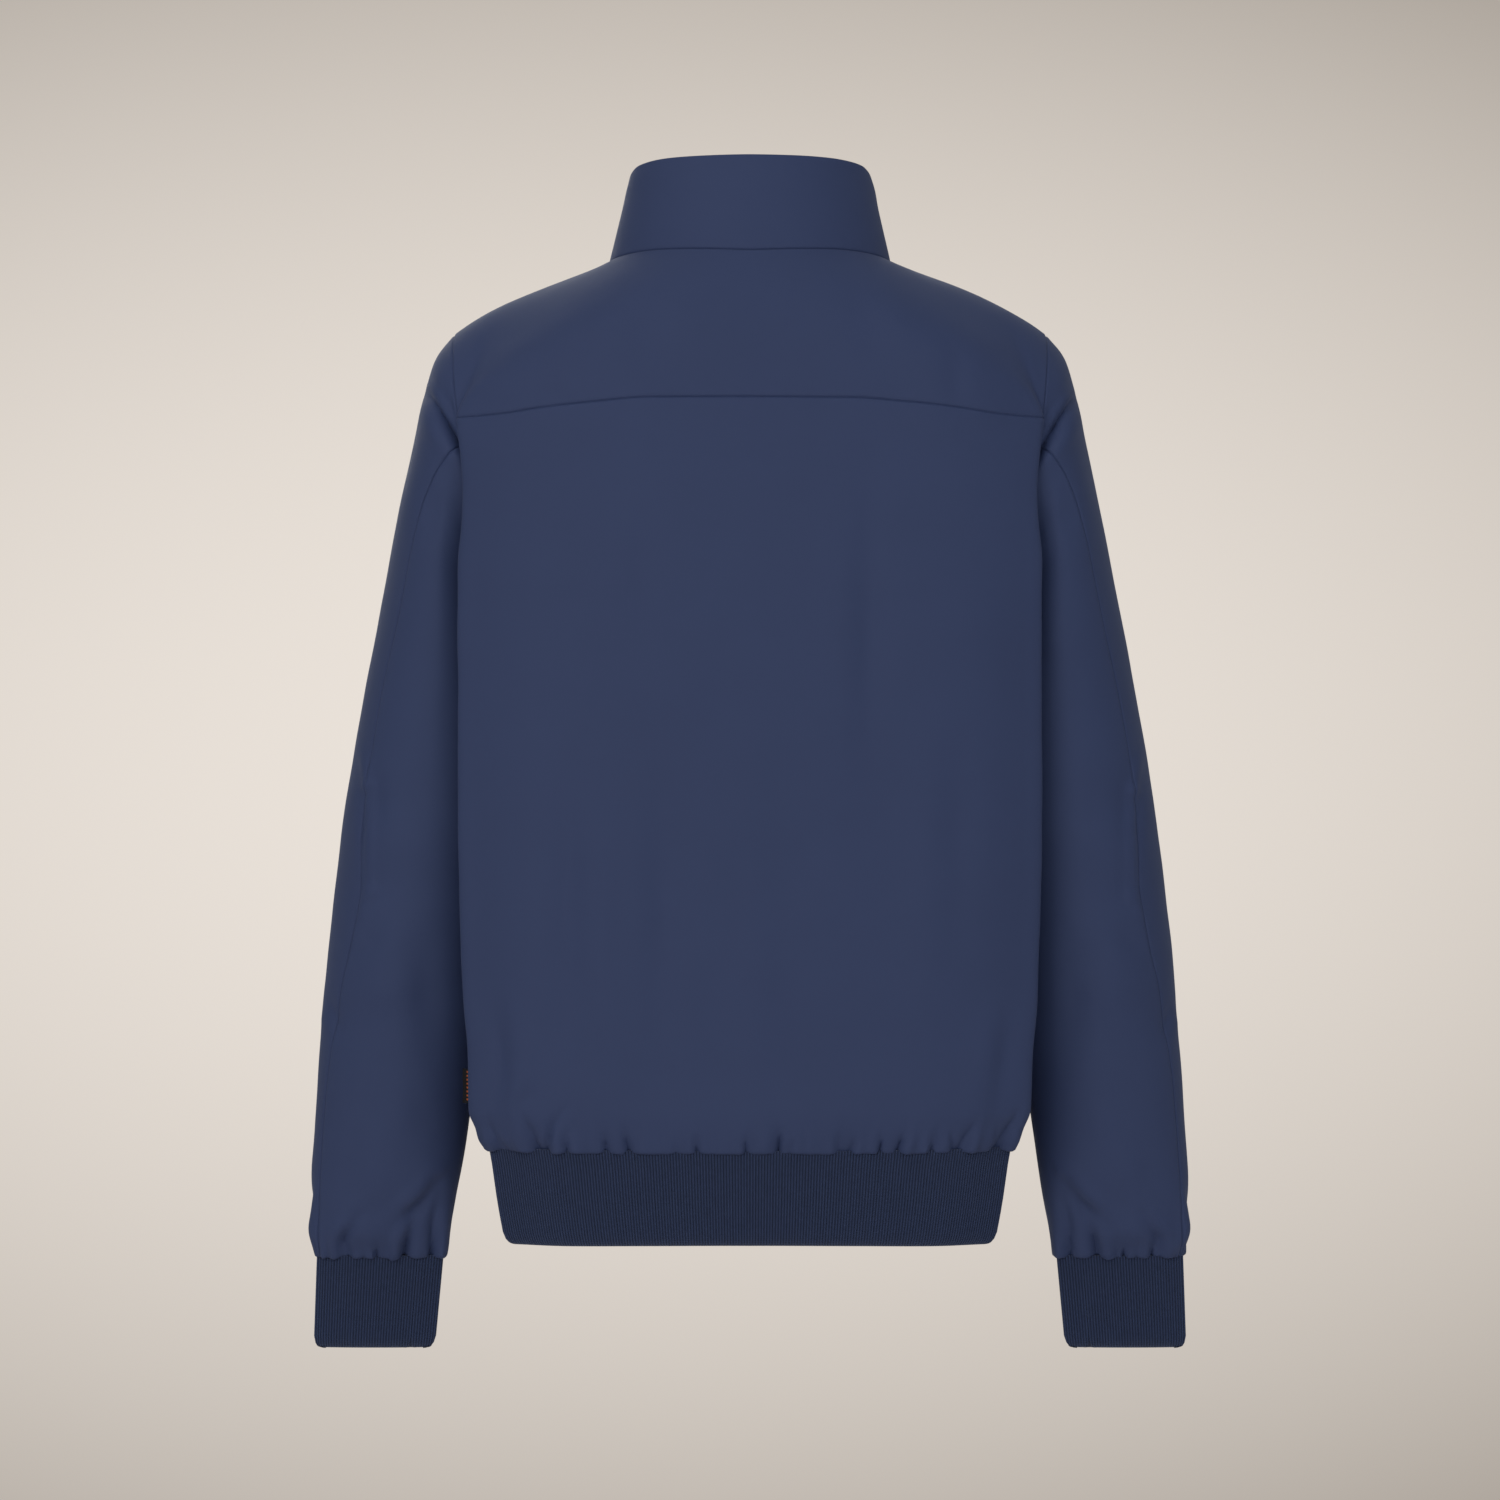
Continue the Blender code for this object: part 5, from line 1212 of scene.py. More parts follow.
@finish
def shell_cloth(tree, places):
    """Matt, densely woven navy shell cloth with a faint nap."""
    heights = [
        (clouds(tree, places, 1500.0, 2.0, 0.6), 0.35),
        (clouds(tree, places, 42.0, 3.0, 0.5), 1.4),
        (threads(tree, places, 950.0, 0.6), 0.25),
        (threads(tree, places, 950.0, 0.6, across=True), 0.25),
    ]
    return {
        "Base Color": varied_colour(tree, places, bpy.context.scene.jacket_colours.shell, 9.0, 0.06),
        "Roughness": 0.62,
        "Specular IOR Level": 0.22,
        "Sheen Weight": 0.06,
        "Sheen Roughness": 0.45,
        "Sheen Tint": (0.55, 0.62, 0.85, 1),
        "Normal": bumped(tree, heights, 0.35, 0.0004),
    }


@finish
def rib_knit(tree, places):
    """Dark navy rib knit, with the courses of loops along each rib and painted shade darkening its grooves.
    """
    colour = bpy.context.scene.jacket_colours.rib
    tone = varied_colour(tree, places, colour, 260.0, 0.22, detail=4.0)
    # Painted shade: the groove attribute darkens the colour in each rib's groove.
    groove = add_node(tree, "ShaderNodeAttribute", attribute_name="groove").outputs["Fac"]
    shade = (*[channel * 0.25 for channel in colour], 1)
    loops = threads(tree, places, 230.0, 1.2, across=True)
    fuzz = clouds(tree, places, 1800.0, 3.0, 0.7)
    return {
        "Base Color": mixed(tree, maths(tree, "MULTIPLY", groove, 0.75), tone, shade),
        "Roughness": 0.85,
        "Specular IOR Level": 0.2,
        "Sheen Weight": 0.25,
        "Sheen Roughness": 0.5,
        "Sheen Tint": (0.45, 0.52, 0.75, 1),
        "Normal": bumped(tree, [(loops, 0.6), (fuzz, 0.7)], 0.6, 0.0005),
    }


def weave(tree, places, colour, scale):
    """Closely woven tape, ribbon or thread."""
    across = threads(tree, places, scale, 0.4, across=True)
    up = threads(tree, places, scale, 0.4)
    return {
        "Base Color": varied_colour(tree, places, colour, 300.0, 0.12),
        "Roughness": 0.8,
        "Specular IOR Level": 0.25,
        "Normal": bumped(tree, [(across, 0.6), (up, 0.4)], 0.5, 0.0003),
    }


plain_cloth = finish(weave)


@finish
def hard_finish(tree, places, colour, roughness, metallic):
    """Moulded nylon or satin metal with faint handling marks."""
    wear = clouds(tree, places, 700.0, 4.0, 0.6)
    return {
        "Base Color": varied_colour(tree, places, colour, 500.0, 0.15),
        "Metallic": metallic,
        "Roughness": ranged(tree, wear, To_Min=roughness - 0.08, To_Max=roughness + 0.1),
        "Normal": bumped(tree, [(wear, 1.0)], 0.15, 0.0001),
    }


@finish
def label_ribbon(tree, places, colours, low, high):
    """Black ribbon with one column of short plain bars woven in rust."""
    look = weave(tree, places, colours.label, 1100.0)
    apart = add_node(tree, "ShaderNodeSeparateXYZ", {0: places}).outputs
    middle = 0.5 * (low[0] + high[0])
    start, end = middle + LABEL_MARK_START, middle + LABEL_MARK_END
    wave = maths(tree, "SINE", maths(tree, "MULTIPLY", apart["Z"], 2 * math.pi / (LABEL_BAR_PITCH * MM)))
    shown = maths(tree, "GREATER_THAN", wave, 0.1)
    edges = (("X", start, start + 0.05), ("X", end, end - 0.05), ("Z", low[2] + 1.2, low[2] + 1.3))
    for axis, begin, full in edges:
        inside = ranged(tree, apart[axis], From_Min=begin * MM, From_Max=full * MM)
        shown = maths(tree, "MULTIPLY", shown, inside)
    look["Base Color"] = mixed(tree, shown, look["Base Color"], (*colours.mark, 1))
    return look


@finish
def pale_floor(tree, places, colours):
    """A pale matt floor with a faint cloudy tone."""
    return {"Base Color": varied_colour(tree, places, colours.backdrop, 1.5, 0.03), "Roughness": 0.9}


# ---- Pieces -----------------------------------------------------------------------------------------


def finished_panel(name, grid, push, raised=None, seams=("top", "first", "last")):
    """Push a panel by its relief, gather its foot if it is sewn to a band, and make its shell."""
    facing = normals(grid)
    distances = edge_distances(grid)
    moved = grid + facing * push[..., None]
    if raised is not None:
        moved = gather(moved, facing, distances["foot"], *raised)
    moved = moved + normals(moved) * seam_relief(grid, distances, seams)[..., None]
    return cloth_shell(name, moved, panel_thickness(distances, seams), shell_cloth("navy_shell_cloth"))


def body_waves(grid):
    """Slow and quick waves over the body's cloth."""
    return fine_waves(grid, 95.0, 1.1, 0.0) + fine_waves(grid, 34.0, 0.42, 5.0)


def hem_places(grid):
    """Distance round the hem to each column of a panel, in mm, from its first column."""
    return run_along(grid[HEM_READ_ROW])


def side_pinches():
    """Uneven pinches round the side and the front of the hem."""
    places = np.arange(PINCH_SIDE_START, PINCH_SIDE_END, PINCH_STEP)
    made = []
    for k, place in enumerate(places):
        wander = noise.noise(Vector((k * 1.7, 2.3, 0.4)))
        made.append(Pinch(place + 9 * wander, 4.5 + 2 * abs(wander), 0.65 + 0.35 * math.sin(k * 2.1) ** 2))
    return tuple(made)


def mirrored_pinches():
    """Pinches of both sides, beyond the ones that show from behind."""
    sides = side_pinches()
    return sides + tuple(pinch._replace(place=-pinch.place - 4.0) for pinch in sides)


def armhole_fade(grid, distances):
    """Fade the relief out where a body panel meets the sleeve, above the armpit."""
    above = smooth(grid[..., 2], ARMPIT - ARMHOLE_FADE, ARMPIT)
    nearest = np.minimum(distances["first"], distances["last"])
    return 1 - above * (1 - smooth(nearest, 0.0, ARMHOLE_FADE)) * (np.abs(grid[..., 0]) > 60.0)


class JACKET_OT_back(bpy.types.Operator):
    """Make the lower back panel"""

    bl_idname = "jacket.back"
    bl_label = "Lower back"

    def execute(self, context):
        grid = back_grid()
        length = hem_places(grid)
        place = (length[-1] / 2 - length)[None, :] + 0 * grid[..., 0]
        facing = normals(grid)
        push = swelled(grid, grid[..., 0], BACK_SWELLS) + creased(grid, facing, BODY_CREASES)
        push += body_waves(grid)
        distances = edge_distances(grid)
        above_hem = smooth(distances["foot"], 0, 14)
        push = push * above_hem + creased(grid, facing, HEM_CREASES) * (1 - above_hem)
        push *= armhole_fade(grid, distances)
        piece = finished_panel("lower_back", grid, push, (place, HEM_PINCHES + mirrored_pinches()))
        declare_cloth(piece, grid, ["back_lower"])
        return {"FINISHED"}


class JACKET_OT_yoke(bpy.types.Operator):
    """Make the back yoke, which rolls over both shoulders"""

    bl_idname = "jacket.yoke"
    bl_label = "Back yoke"

    def execute(self, context):
        grid, shares = yoke_grid()
        facing = normals(grid)
        distances = edge_distances(grid)
        push = creased(grid, facing, BODY_CREASES) + body_waves(grid)
        push *= sewn_fade(distances, ("top", "first", "last"))
        at_armhole = smooth(shares, YOKE_SEAM_SHARE, YOKE_SEAM_SHARE + 0.06)[None, :]
        push *= 1 - at_armhole * (1 - sewn_fade(distances, ("foot",)))
        piece = finished_panel("yoke", grid, push, seams=("foot", "top", "first", "last"))
        declare_cloth(piece, grid, ["back_yoke"])
        return {"FINISHED"}


class JACKET_OT_fronts(bpy.types.Operator):
    """Make both fronts"""

    bl_idname = "jacket.fronts"
    bl_label = "Fronts"

    def execute(self, context):
        left = front_grid()
        for name, node, grid, side in (
            ("front_panel_left", "front_left", left, 1),
            ("front_panel_right", "front_right", mirrored(left), -1),
        ):
            facing = normals(grid)
            push = swelled(grid, side * grid[..., 0], FRONT_SWELLS)
            push += creased(grid, facing, BODY_CREASES) + body_waves(grid)
            distances = edge_distances(grid)
            zip_edge = distances["first" if side > 0 else "last"]
            push *= smooth(zip_edge, 0.0, 26.0) * 0.92 + 0.08
            push *= armhole_fade(grid, distances) * sewn_fade(distances, ("top",))
            length = hem_places(grid)
            place = HEM_FRONT_START + (length[-1] - length if side > 0 else length)[None, :] + 0 * push
            piece = finished_panel(name, grid, push, (place, side_pinches()))
            declare_cloth(piece, grid, [node])
        return {"FINISHED"}


class JACKET_OT_collar(bpy.types.Operator):
    """Make the stand collar"""

    bl_idname = "jacket.collar"
    bl_label = "Collar"

    def execute(self, context):
        grid = collar_grid()
        distances = edge_distances(grid)
        distances["foot"] = distances["foot"] - distances["foot"][len(COLLAR_ALLOWANCE)][None, :]
        under = smooth(-distances["foot"], 0.0, 1.0)
        distances["foot"] = np.maximum(distances["foot"], 0.0)
        push = body_waves(grid) * 0.8 * smooth(distances["foot"], 0, 20) - COLLAR_TUCK * under
        push += 0.9 * bell(distances["top"] - 9, 8) * fine_waves(grid, 60.0, 1.6, 8.0)
        moved = grid + normals(grid) * push[..., None]
        moved += normals(moved) * seam_relief(grid, distances, ("foot",))[..., None]
        thick = mm(sizes().collar)
        radius = thick / 2
        ends = np.minimum(distances["top"], np.minimum(distances["first"], distances["last"]))
        inside = radius - np.sqrt(np.maximum(radius ** 2 - np.maximum(radius - ends, 0) ** 2, 0))
        moved -= normals(moved) * inside[..., None]
        thickness = np.maximum(thick - 2 * inside, COLLAR_EDGE)
        piece = cloth_shell("stand_collar", moved, thickness, shell_cloth("navy_shell_cloth"))
        declare_cloth(piece, grid, ["collar"])
        return {"FINISHED"}


class JACKET_OT_sleeves(bpy.types.Operator):
    """Make the upper and under sleeves of both arms"""

    bl_idname = "jacket.sleeves"
    bl_label = "Sleeves"

    def execute(self, context):
        for side, hand in ((1, "left"), (-1, "right")):
            creases = SLEEVE_CREASES if side > 0 else tuple(map(moved_right, SLEEVE_CREASES))
            for part, (grid, angle) in zip(("upper", "under"), sleeve_grids()):
                distances = edge_distances(grid)
                push = swelled(grid, angle, SLEEVE_SWELLS)
                for spacing, depth, start in ((70.0, 1.0, 11.0), (30.0, 0.35, 17.0)):
                    push += fine_waves(grid * np.array((side, 1, 1)), spacing, depth, start)
                push *= smooth(distances["top"], 0.0, 22.0)
                push += creased(grid, normals(grid), creases) * smooth(distances["top"], 0.0, 4.0)
                if side < 0:
                    grid, push, angle = mirrored(grid), push[:, ::-1], angle[:, ::-1]
                piece = finished_panel(f"{part}_arm_{hand}", grid, push, (angle, CUFF_PINCHES))
                declare_cloth(piece, grid, [f"{part}_sleeve_{hand}"])
        return {"FINISHED"}


def knit_profile(count):
    """Heights of a rib across its width, from groove to groove."""
    turn = np.linspace(0, 2 * math.pi, count, endpoint=False)
    return 1 - np.abs(np.cos(turn / 2)) ** 2.2


def even_shares(curve, start, end, count):
    """Shares that cut a curve into equal lengths."""
    fine = np.linspace(start, end, 3000)
    length = run_along(curve(fine))
    return np.interp(np.linspace(0, length[-1], count + 1), length, fine), length[-1]


def level_outward(row, closed):
    """Level outward directions along a row of points that runs to the outer face's right."""
    if closed:
        step = np.roll(row, -1, axis=0) - np.roll(row, 1, axis=0)
    else:
        step = np.gradient(row, axis=0)
    return unit(np.stack((step[:, 1], -step[:, 0], 0 * step[:, 0]), axis=-1))


def band_loop(read_row, foot, top, closed, ribs):
    """Rows of a doubled rib band: down its outside, round the fold at its foot and up its inside."""
    near = foot + BAND_FOLD_RADIUS
    outer_heights = near + (top - near) * np.linspace(1, 0, BAND_ROWS) ** 1.6
    height = mm(sizes().rib_height)
    thick = mm(sizes().rib_thickness)
    pattern = np.tile(knit_profile(RIB_POINTS), ribs)
    if not closed:
        pattern = np.concatenate((pattern, pattern[:1]))
    at = np.arange(len(pattern))
    uneven = 1 + 0.18 * np.sin(at * 0.37) * np.sin(at * 0.011 + 1)

    def row_at(level, in_by, raise_by):
        row = read_row(level)
        out = level_outward(row, closed)
        turned = max(0.0, 1 - (level - foot) / BAND_CURL_HEIGHT)
        curl = BAND_CURL * (1 - math.sqrt(1 - turned * turned))
        return row + out * (pattern * uneven * height * raise_by - in_by - curl)[:, None]

    rows = [row_at(level, 0.0, 1.0) for level in outer_heights]
    for k in range(1, BAND_FOLD_ROWS):
        turn = math.pi * k / BAND_FOLD_ROWS
        depth = thick / 2 * (1 - math.cos(turn))
        level = foot + BAND_FOLD_RADIUS * (1 - math.sin(turn))
        rows.append(row_at(level, depth, math.cos(turn)))
    rows += [row_at(level, thick, -0.6) for level in outer_heights[::-2]]
    return np.array(rows)


def band_cut(read_row, top, foot):
    """The smooth rows under a band's ribs, on which its flat size is measured."""
    return np.array([read_row(level) for level in np.linspace(top, foot, BAND_ROWS)])


def band_object(name, rows, closed, look):
    """A closed rib band from the rows of its loop, with its grooves marked for the knit's painted shade."""
    rows = rows[::-1]
    # How far into a groove each column lies, which the knit darkens as painted shade.
    shade = np.tile(1 - knit_profile(RIB_POINTS), rows.shape[1] // RIB_POINTS + 1)[: rows.shape[1]]
    count, columns = rows.shape[:2]
    faces = [tuple(face) for face in grid_faces(count, columns, closed=closed, looped=True)]
    if not closed:
        first = [row * columns for row in range(count)]
        last = [row * columns + columns - 1 for row in range(count)]
        faces += [tuple(first), tuple(last[::-1])]
    made = make_object(name, rows.reshape(-1, 3), faces, look, smooth_angle=70)
    groove = made.data.attributes.new("groove", "FLOAT", "POINT")
    groove.data.foreach_set("value", np.tile(shade, count))
    return made


class JACKET_OT_hem_band(bpy.types.Operator):
    """Knit the rib hem band"""

    bl_idname = "jacket.hem_band"
    bl_label = "Rib hem band"

    def execute(self, context):
        end = float(np.interp(HEM_SEAM, SEAMS[0], SEAMS[3]))
        fine = np.array(HEM_SEAM)
        _, half_length = even_shares(lambda at: body_point(fine + 0 * at, at), 0, end, 10)
        ribs = int(round(half_length / mm(sizes().rib_pitch)))
        shares, _ = even_shares(lambda at: body_point(fine + 0 * at, at), 0, end, ribs * RIB_POINTS)

        def read_row(level):
            half = body_point(level + 0 * shares, shares)
            short = FRONT_EDGE - half[-1, 0]
            half[:, 0] += short * np.exp((half[-1, 0] - half[:, 0]) / HEM_END_EASE) * (half[:, 1] < 0)
            low = (HEM_SEAM - level) / (HEM_SEAM - HEM_BOTTOM)
            half[:, 2] -= HEM_SIDE_DROP * max(low, 0.0) * (half[:, 0] / 170.0) ** 2 * (half[:, 1] > 0)
            return both_sides(half[None])[0]

        rows = band_loop(read_row, HEM_BOTTOM, HEM_SEAM + BAND_TUCKED_UP, False, 2 * ribs)
        piece = band_object("rib_hem_band", rows, False, rib_knit("navy_rib_knit"))
        cut = band_cut(read_row, HEM_SEAM, HEM_BOTTOM)
        declare_cloth(piece, cut, ["hem_band"])
        return {"FINISHED"}


class JACKET_OT_cuffs(bpy.types.Operator):
    """Knit both rib cuffs"""

    bl_idname = "jacket.cuffs"
    bl_label = "Rib cuffs"

    def execute(self, context):
        top, foot = CUFF_TOP._asdict(), CUFF_FOOT._asdict()
        _, length = even_shares(lambda turn: ring_point(top, turn), 0, 360, 10)
        ribs = int(round(length / mm(sizes().rib_pitch)))
        angles, _ = even_shares(lambda turn: ring_point(top, turn), 0, 360, ribs * RIB_POINTS)
        angles = angles[:-1]

        def read_row(level):
            down = (CUFF_SEAM - level) / CUFF_LENGTH
            column = {key: top[key] + (foot[key] - top[key]) * down for key in top}
            row = ring_point(column, angles)
            seam = bell(angles - CUFF_SEAM_ANGLE, 1.5)
            return row - level_outward(row, True) * (CUFF_SEAM_DEPTH * seam)[:, None]

        rows = band_loop(read_row, CUFF_SEAM - CUFF_LENGTH, CUFF_SEAM + BAND_TUCKED_UP, True, ribs)
        cut = band_cut(read_row, CUFF_SEAM, CUFF_SEAM - CUFF_LENGTH)
        cut = np.concatenate((cut, cut[:, :1]), axis=1)
        for hand, shaped in (("left", rows), ("right", np.roll(mirrored(rows), 1, axis=1))):
            piece = band_object(f"rib_cuff_{hand}", shaped, True, rib_knit("navy_rib_knit"))
            declare_cloth(piece, cut, [f"cuff_{hand}"])
        return {"FINISHED"}


# ---- Zip, stitching and label -----------------------------------------------------------------------


def zip_line():
    """The zip's line up the centre front: depths and heights, from the hem to the collar's top."""
    low = np.linspace(HEM_BOTTOM, HEM_SEAM, 30)[:-1]
    band = body_point(low, np.interp(low, SEAMS[0], SEAMS[3]))
    front = front_grid()[:, 0]
    up = np.linspace(0, 1, 40)[1:]
    stand = collar_point(front_neck_angle() + 0 * up, up)
    return np.concatenate((band, front, stand))[:, 1:]


def on_line(line, at, depth):
    """Depths and heights at distances along the zip's line, sunk under the cloth, and the way outward."""
    length = run_along(line)
    step = unit(np.gradient(line, axis=0))
    out = np.stack((-step[:, 1], step[:, 0]), axis=-1)
    place = np.stack([np.interp(at, length, line[:, axis]) for axis in (0, 1)], axis=-1)
    away = unit(np.stack([np.interp(at, length, out[:, axis]) for axis in (0, 1)], axis=-1))
    return place - away * np.asarray(depth)[..., None], away


def small_bar(stations, place, flip):
    """A small rounded bar through its stations (along, size, rise), with its ends closed, and its faces."""
    sides = 6
    turns = [2 * math.pi * k / sides for k in range(sides)]
    points = [place(*station, math.cos(turn), math.sin(turn)) for station in stations for turn in turns]
    faces = [tuple(face) for face in grid_faces(len(stations), sides, closed=True)]
    faces += [tuple(range(sides))[::-1], tuple(range(len(points) - sides, len(points)))]
    return np.array(points), [face[::-1] for face in faces] if flip else faces


def tooth_points():
    """One turn of the coil, which lies across the zip."""
    stations = ((0.15, 0.42, 0.0), (0.6, 0.62, 0.10), (2.1, 0.60, 0.12), (2.85, 0.40, 0.0))
    return small_bar(
        stations, lambda x, size, rise, cos, sin: (x, 0.62 * size * cos, rise + 0.75 * size * sin), False
    )


def repeated(shape, faces, places, outs, flips):
    """Many copies of one small shape, laid along the zip's line, each turned to face outward."""
    points, made = [], []
    for place, out, flip in zip(places, outs, flips):
        start = len(points) * len(shape)
        x = shape[:, 0] * flip + place[0]
        y = place[1] + shape[:, 1] * out[1] + shape[:, 2] * out[0]
        z = place[2] - shape[:, 1] * out[0] + shape[:, 2] * out[1]
        points.append(np.stack((x, y, z), axis=-1))
        made += [tuple(k + start for k in (face if flip > 0 else face[::-1])) for face in faces]
    return np.concatenate(points), made


class JACKET_OT_zip(bpy.types.Operator):
    """Make the zip's tapes and coil, and finish its metal"""

    bl_idname = "jacket.zip"
    bl_label = "Zip"

    def execute(self, context):
        colours = context.scene.jacket_colours
        line = zip_line()
        top = run_along(line)[-1]
        tape = plain_cloth("zip_tape_weave", colours.tape, 700.0)
        at = np.linspace(TAPE_START, top - TAPE_END, TAPE_ROWS)
        across = np.linspace(TAPE_INNER, TAPE_OUTER, 9)
        for side, hand in ((1, "left"), (-1, "right")):
            along_zip, beside = spread(at, across if side > 0 else -across[::-1])
            sunk = TAPE_DEPTH + TAPE_SINK * smooth(np.abs(beside), 3.0, 9.0)
            place, _ = on_line(line, along_zip, sunk)
            grid = np.concatenate((beside[..., None], place), axis=-1)
            piece = cloth_shell(f"tape_{hand}", grid, TAPE_THICKNESS + 0 * grid[..., 0], tape)
            declare_cloth(piece, grid, [f"zip_tape_{hand}"])
        shape, faces = tooth_points()
        count = sizes().teeth
        places = np.linspace(COIL_START, top - SLIDER_ROOM, count)
        stagger = 0.5 * (places[1] - places[0])
        at = np.concatenate((places, places + stagger))
        middle, out = on_line(line, at, COIL_DEPTH + 0 * at)
        flips = np.where(np.arange(2 * count) < count, 1, -1)
        start = np.concatenate((-COIL_OVERLAP * flips[:, None], middle), axis=1)
        points, made = repeated(shape, faces, start, out, flips)
        coil = make_object("zip_coil", points, made, hard_finish("zip_nylon", colours.teeth, 0.45, 0.0))
        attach(coil, BODY)
        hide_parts("zip_chain")
        metal = hard_finish("zip_satin_metal", colours.metal, 0.34, 1.0)
        for name in ("zip_box", "zip_slider", "zip_pull"):
            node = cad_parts[name]
            node.data.materials.clear()
            node.data.materials.append(metal)
            weld = node.modifiers.new("weld", "WELD")
            weld.merge_threshold = METAL_WELD * MM
            bevel = node.modifiers.new("soft edges", "BEVEL")
            bevel.width = METAL_EDGE * MM
            bevel.segments = 3
        return {"FINISHED"}


def stitch_points(length):
    """One topstitch, which lies along the zip and sinks in at both ends."""
    stations = (
        (-0.5, 0.05, -0.05), (-0.36, 0.16, 0.04), (0.0, 0.19, 0.10), (0.36, 0.16, 0.04), (0.5, 0.05, -0.05)
    )
    return small_bar(
        stations, lambda share, size, rise, cos, sin: (size * cos, share * length, rise + size * sin), True
    )


def front_fall(edge, at):
    """How far the cloth's face at the stitch line lies from the zip's line, along the line's outward."""
    tree = bpy.context.evaluated_depsgraph_get()
    middle, out = on_line(zip_line(), at, 0 * at)
    found = np.zeros(len(at))
    shells = [bpy.data.objects[name] for name in ("front_panel_left", "front_panel_right", "stand_collar")]
    shown = [shell.evaluated_get(tree) for shell in shells]
    for k, (y, z) in enumerate(middle + CAST_FROM * out):
        start = Vector((edge[k], y, z)) * MM
        toward = Vector((0.0, -out[k, 0], -out[k, 1]))
        for shell in shown:
            hit, spot, _, _ = shell.ray_cast(start, toward, distance=2 * CAST_FROM * MM)
            if hit:
                found[k] = CAST_FROM - (spot - start).length / MM
                break
    return found


class JACKET_OT_stitching(bpy.types.Operator):
    """Sew the topstitching beside the zip"""

    bl_idname = "jacket.stitching"
    bl_label = "Topstitching"

    def execute(self, context):
        line = zip_line()
        stitch = mm(sizes().stitch)
        shape, faces = stitch_points(stitch)
        at = np.arange(STITCH_START, run_along(line)[-1] - STITCH_END, stitch * STITCH_SPACING)
        both = np.concatenate((at, at))
        middle, out = on_line(line, both, 0.0 * both)
        sides = np.where(np.arange(len(both)) < len(at), 1, -1)
        edge = (FRONT_EDGE + STITCH_FROM_EDGE) * sides
        middle = middle + out * front_fall(edge, both)[:, None]
        start = np.concatenate((edge[:, None], middle), axis=1)
        points, made = repeated(shape, faces, start, out, sides)
        shade = [channel * THREAD_SHADE for channel in context.scene.jacket_colours.shell]
        piece = make_object("zip_topstitch", points, made, plain_cloth("navy_thread", shade, 2500.0))
        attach(piece, BODY)
        return {"FINISHED"}


class JACKET_OT_label(bpy.types.Operator):
    """Fold the small label into the left side seam"""

    bl_idname = "jacket.label"
    bl_label = "Side label"

    def execute(self, context):
        colours = context.scene.jacket_colours
        low, high = (np.array(corner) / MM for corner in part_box("side_label"))
        solid = np.array([vertex.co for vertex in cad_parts["side_label"].data.vertices]) / MM
        near = solid[np.argmin(solid[:, 0] - solid[:, 1])]
        far = solid[np.argmax(solid[:, 0] - solid[:, 1])]
        reach = np.array((far[0] - near[0], far[1] - near[1]))
        width = float(np.linalg.norm(reach))
        ahead = reach / width
        middle = 0.5 * (low + high)
        root = np.array((middle[0], middle[1])) - ahead * width / 2
        # Widened past its solid, the black ribbon also stands in for the painted shadow of the gap between
        # sleeve and body.
        width += LABEL_SHOWN
        side = np.array((ahead[1], -ahead[0]))
        across = np.linspace(0, 1, 22)
        up = np.linspace(low[2] + 0.2, high[2] - 0.2, 34)
        wave = 0.22 * np.sin(up[:, None] * 0.35) * across[None, :]
        half = 0.42 * np.sqrt(np.clip(1 - ((across - 0.12) / 0.88).clip(0, 1) ** 8, 0.0, 1.0))
        along_it = ahead * (across * width)[None, :, None]
        height = up[:, None] + 0 * across[None, :]
        faces = []
        for sign in (1, -1):
            flat = root + along_it + side * (sign * half[None, :] + wave)[..., None]
            faces.append(np.concatenate((flat, height[..., None]), axis=-1))
        look = label_ribbon("label_ribbon", colours, low, high)
        piece = closed_shell("side_tab", *faces, look, 50)
        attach(piece, BODY)
        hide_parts("side_label")
        return {"FINISHED"}


# ---- Studio -----------------------------------------------------------------------------------------


def glow_backdrop(colours):
    """A pale backdrop that glows with a painted pool of light: brightest behind the jacket, a little to the
    left, and dimming outward.
    """
    made = bpy.data.materials.new("pale_backdrop")
    made.use_nodes = True
    tree = made.node_tree
    tree.nodes.clear()
    places = add_node(tree, "ShaderNodeTexCoord").outputs["Object"]
    inputs = {0: places, 1: GLOW_SHAPE}
    flat = add_node(tree, "ShaderNodeVectorMath", inputs, operation="MULTIPLY").outputs["Vector"]
    middle = tuple(place * squeeze for place, squeeze in zip(GLOW_PLACE, GLOW_SHAPE))
    away = add_node(tree, "ShaderNodeVectorMath", {0: flat, 1: middle}, operation="DISTANCE").outputs["Value"]
    share = ranged(tree, maths(tree, "POWER", away, 2.0), From_Min=0.0, From_Max=GLOW_REACH)
    # Painted light: the glow fades from the middle colour to the corner colour, and the backdrop glows though
    # it is no lamp.
    colour = mixed(tree, share, (*colours.backdrop, 1), (*colours.backdrop_glow_rim, 1))
    glow = add_node(tree, "ShaderNodeEmission", {"Color": colour})
    add_node(tree, "ShaderNodeOutputMaterial", {"Surface": glow.outputs[0]})
    return made


def stage_dome(look):
    """A wide round backdrop with the studio inside it, seen by the camera alone."""
    rows, columns = 24, 72
    height = np.linspace(DOME_FOOT, DOME_TOP, rows)
    turn = np.linspace(0, 2 * math.pi, columns, endpoint=False)
    height, turn = spread(height, turn)
    grid = np.stack((DOME_RADIUS * np.cos(turn), DOME_RADIUS * np.sin(turn), height), axis=-1)
    return make_object("backdrop", grid.reshape(-1, 3) / MM, grid_faces(rows, columns, closed=True), look)


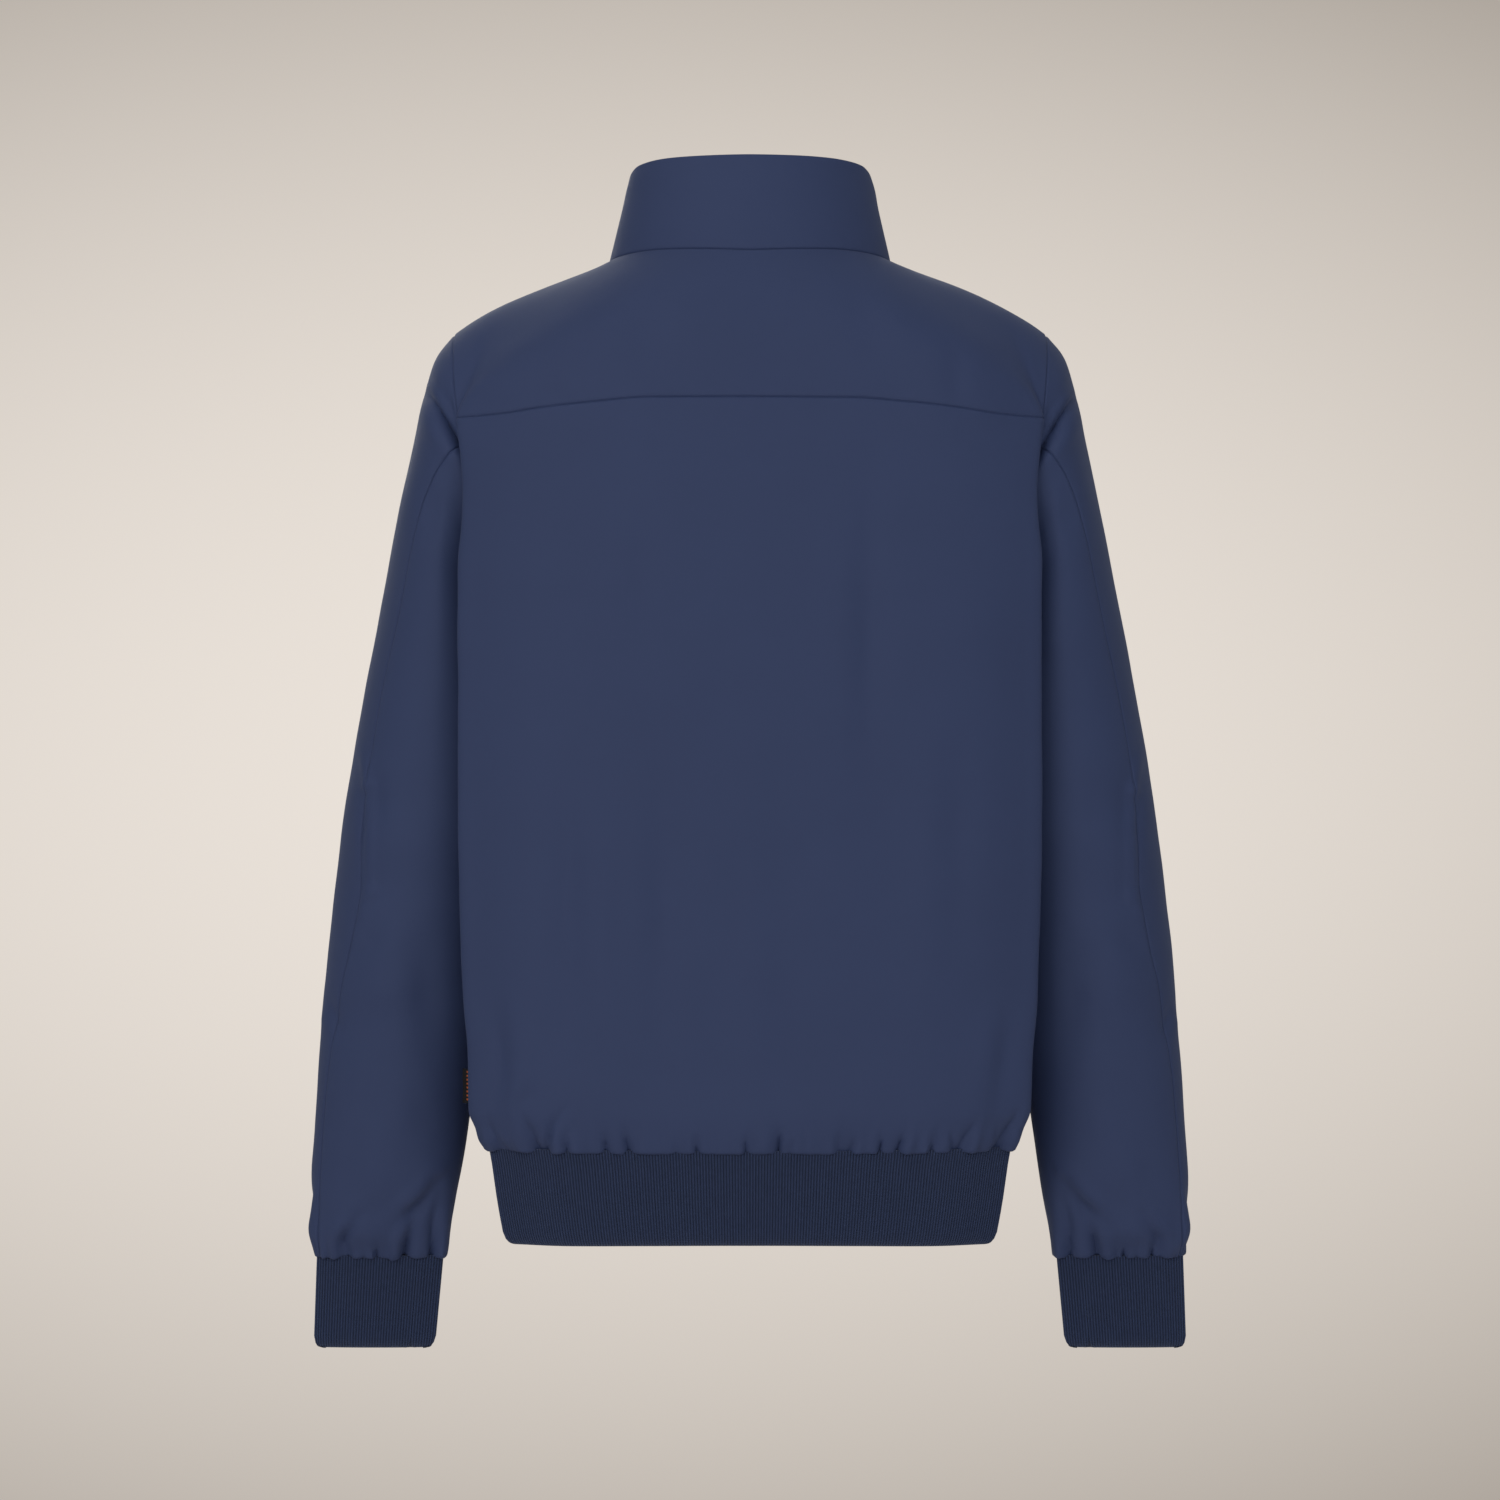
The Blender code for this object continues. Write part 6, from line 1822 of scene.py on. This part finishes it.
def area_light(light):
    """A soft rectangular light that faces the jacket."""
    data = bpy.data.lights.new(light.name, "AREA")
    data.shape = "RECTANGLE"
    data.size, data.size_y = light.size
    data.energy = light.power
    data.color = light.colour
    made = bpy.data.objects.new(light.name, data)
    made.location = light.place
    made.rotation_euler = (Vector(LIGHT_TARGET) - Vector(light.place)).to_track_quat("-Z", "Y").to_euler()
    bpy.context.scene.collection.objects.link(made)


class JACKET_OT_studio(bpy.types.Operator):
    """Set the camera, floor, backdrop and lights"""

    bl_idname = "jacket.studio"
    bl_label = "Studio"

    def execute(self, context):
        scene = context.scene
        colours = scene.jacket_colours
        scene.view_settings.view_transform = "Standard"
        camera = bpy.data.objects.new("camera", bpy.data.cameras.new("camera"))
        camera.data.sensor_width = SENSOR
        camera.data.lens = SENSOR * CAMERA_DISTANCE / FRAME_WIDTH
        camera.location = (0.0, CAMERA_DISTANCE, CAMERA_HEIGHT)
        camera.rotation_euler = (math.radians(90), 0.0, math.radians(180))
        scene.collection.objects.link(camera)
        scene.camera = camera
        dome = stage_dome(glow_backdrop(colours))
        for way in ("visible_diffuse", "visible_glossy", "visible_shadow", "visible_transmission"):
            setattr(dome, way, False)
        ring = np.linspace(0, 2 * math.pi, 96, endpoint=False)
        rim = FLOOR_RADIUS * np.stack((np.cos(ring), np.sin(ring), 0 * ring), axis=-1)
        rim[:, 2] = FLOOR_HEIGHT
        floor = make_object("floor", rim / MM, [tuple(range(96))], pale_floor("pale_floor", colours))
        world = bpy.data.worlds.new("studio")
        scene.world = world
        world.use_nodes = True
        inputs = {"Color": WORLD_COLOUR, "Strength": WORLD_STRENGTH}
        fill(world.node_tree, world.node_tree.nodes["Background"], inputs)
        for light in LIGHTS:
            area_light(light)
        return {"FINISHED"}


class JACKET_PT_making(bpy.types.Panel):
    """The jacket's sizes, colours and pieces"""

    bl_label = "Windbreaker"
    bl_idname = "JACKET_PT_making"
    bl_space_type = "VIEW_3D"
    bl_region_type = "UI"
    bl_category = "Jacket"

    def draw(self, context):
        column = self.layout.column()
        for group in (context.scene.jacket_sizes, context.scene.jacket_colours):
            for key in group.__annotations__:
                column.prop(group, key)
        for operator in OPERATORS:
            column.operator(operator.bl_idname)


OPERATORS = (
    JACKET_OT_studio,
    JACKET_OT_back,
    JACKET_OT_yoke,
    JACKET_OT_fronts,
    JACKET_OT_collar,
    JACKET_OT_sleeves,
    JACKET_OT_hem_band,
    JACKET_OT_cuffs,
    JACKET_OT_zip,
    JACKET_OT_stitching,
    JACKET_OT_label,
)
CLASSES = (JacketSizes, JacketColours, *OPERATORS, JACKET_PT_making)


def register():
    """Add the classes and the scene's settings."""
    for item in CLASSES:
        bpy.utils.register_class(item)
    bpy.types.Scene.jacket_sizes = PointerProperty(type=JacketSizes)
    bpy.types.Scene.jacket_colours = PointerProperty(type=JacketColours)


def unregister():
    """Take the classes and the scene's settings away."""
    del bpy.types.Scene.jacket_colours
    del bpy.types.Scene.jacket_sizes
    for item in reversed(CLASSES):
        bpy.utils.unregister_class(item)


def main():
    """Make every piece in order."""
    register()
    for operator in OPERATORS:
        group, name = operator.bl_idname.split(".")
        result = getattr(getattr(bpy.ops, group), name)()
        if result != {"FINISHED"}:
            raise RuntimeError(f"{operator.bl_idname} did not finish")


if __name__ == "__main__":
    main()
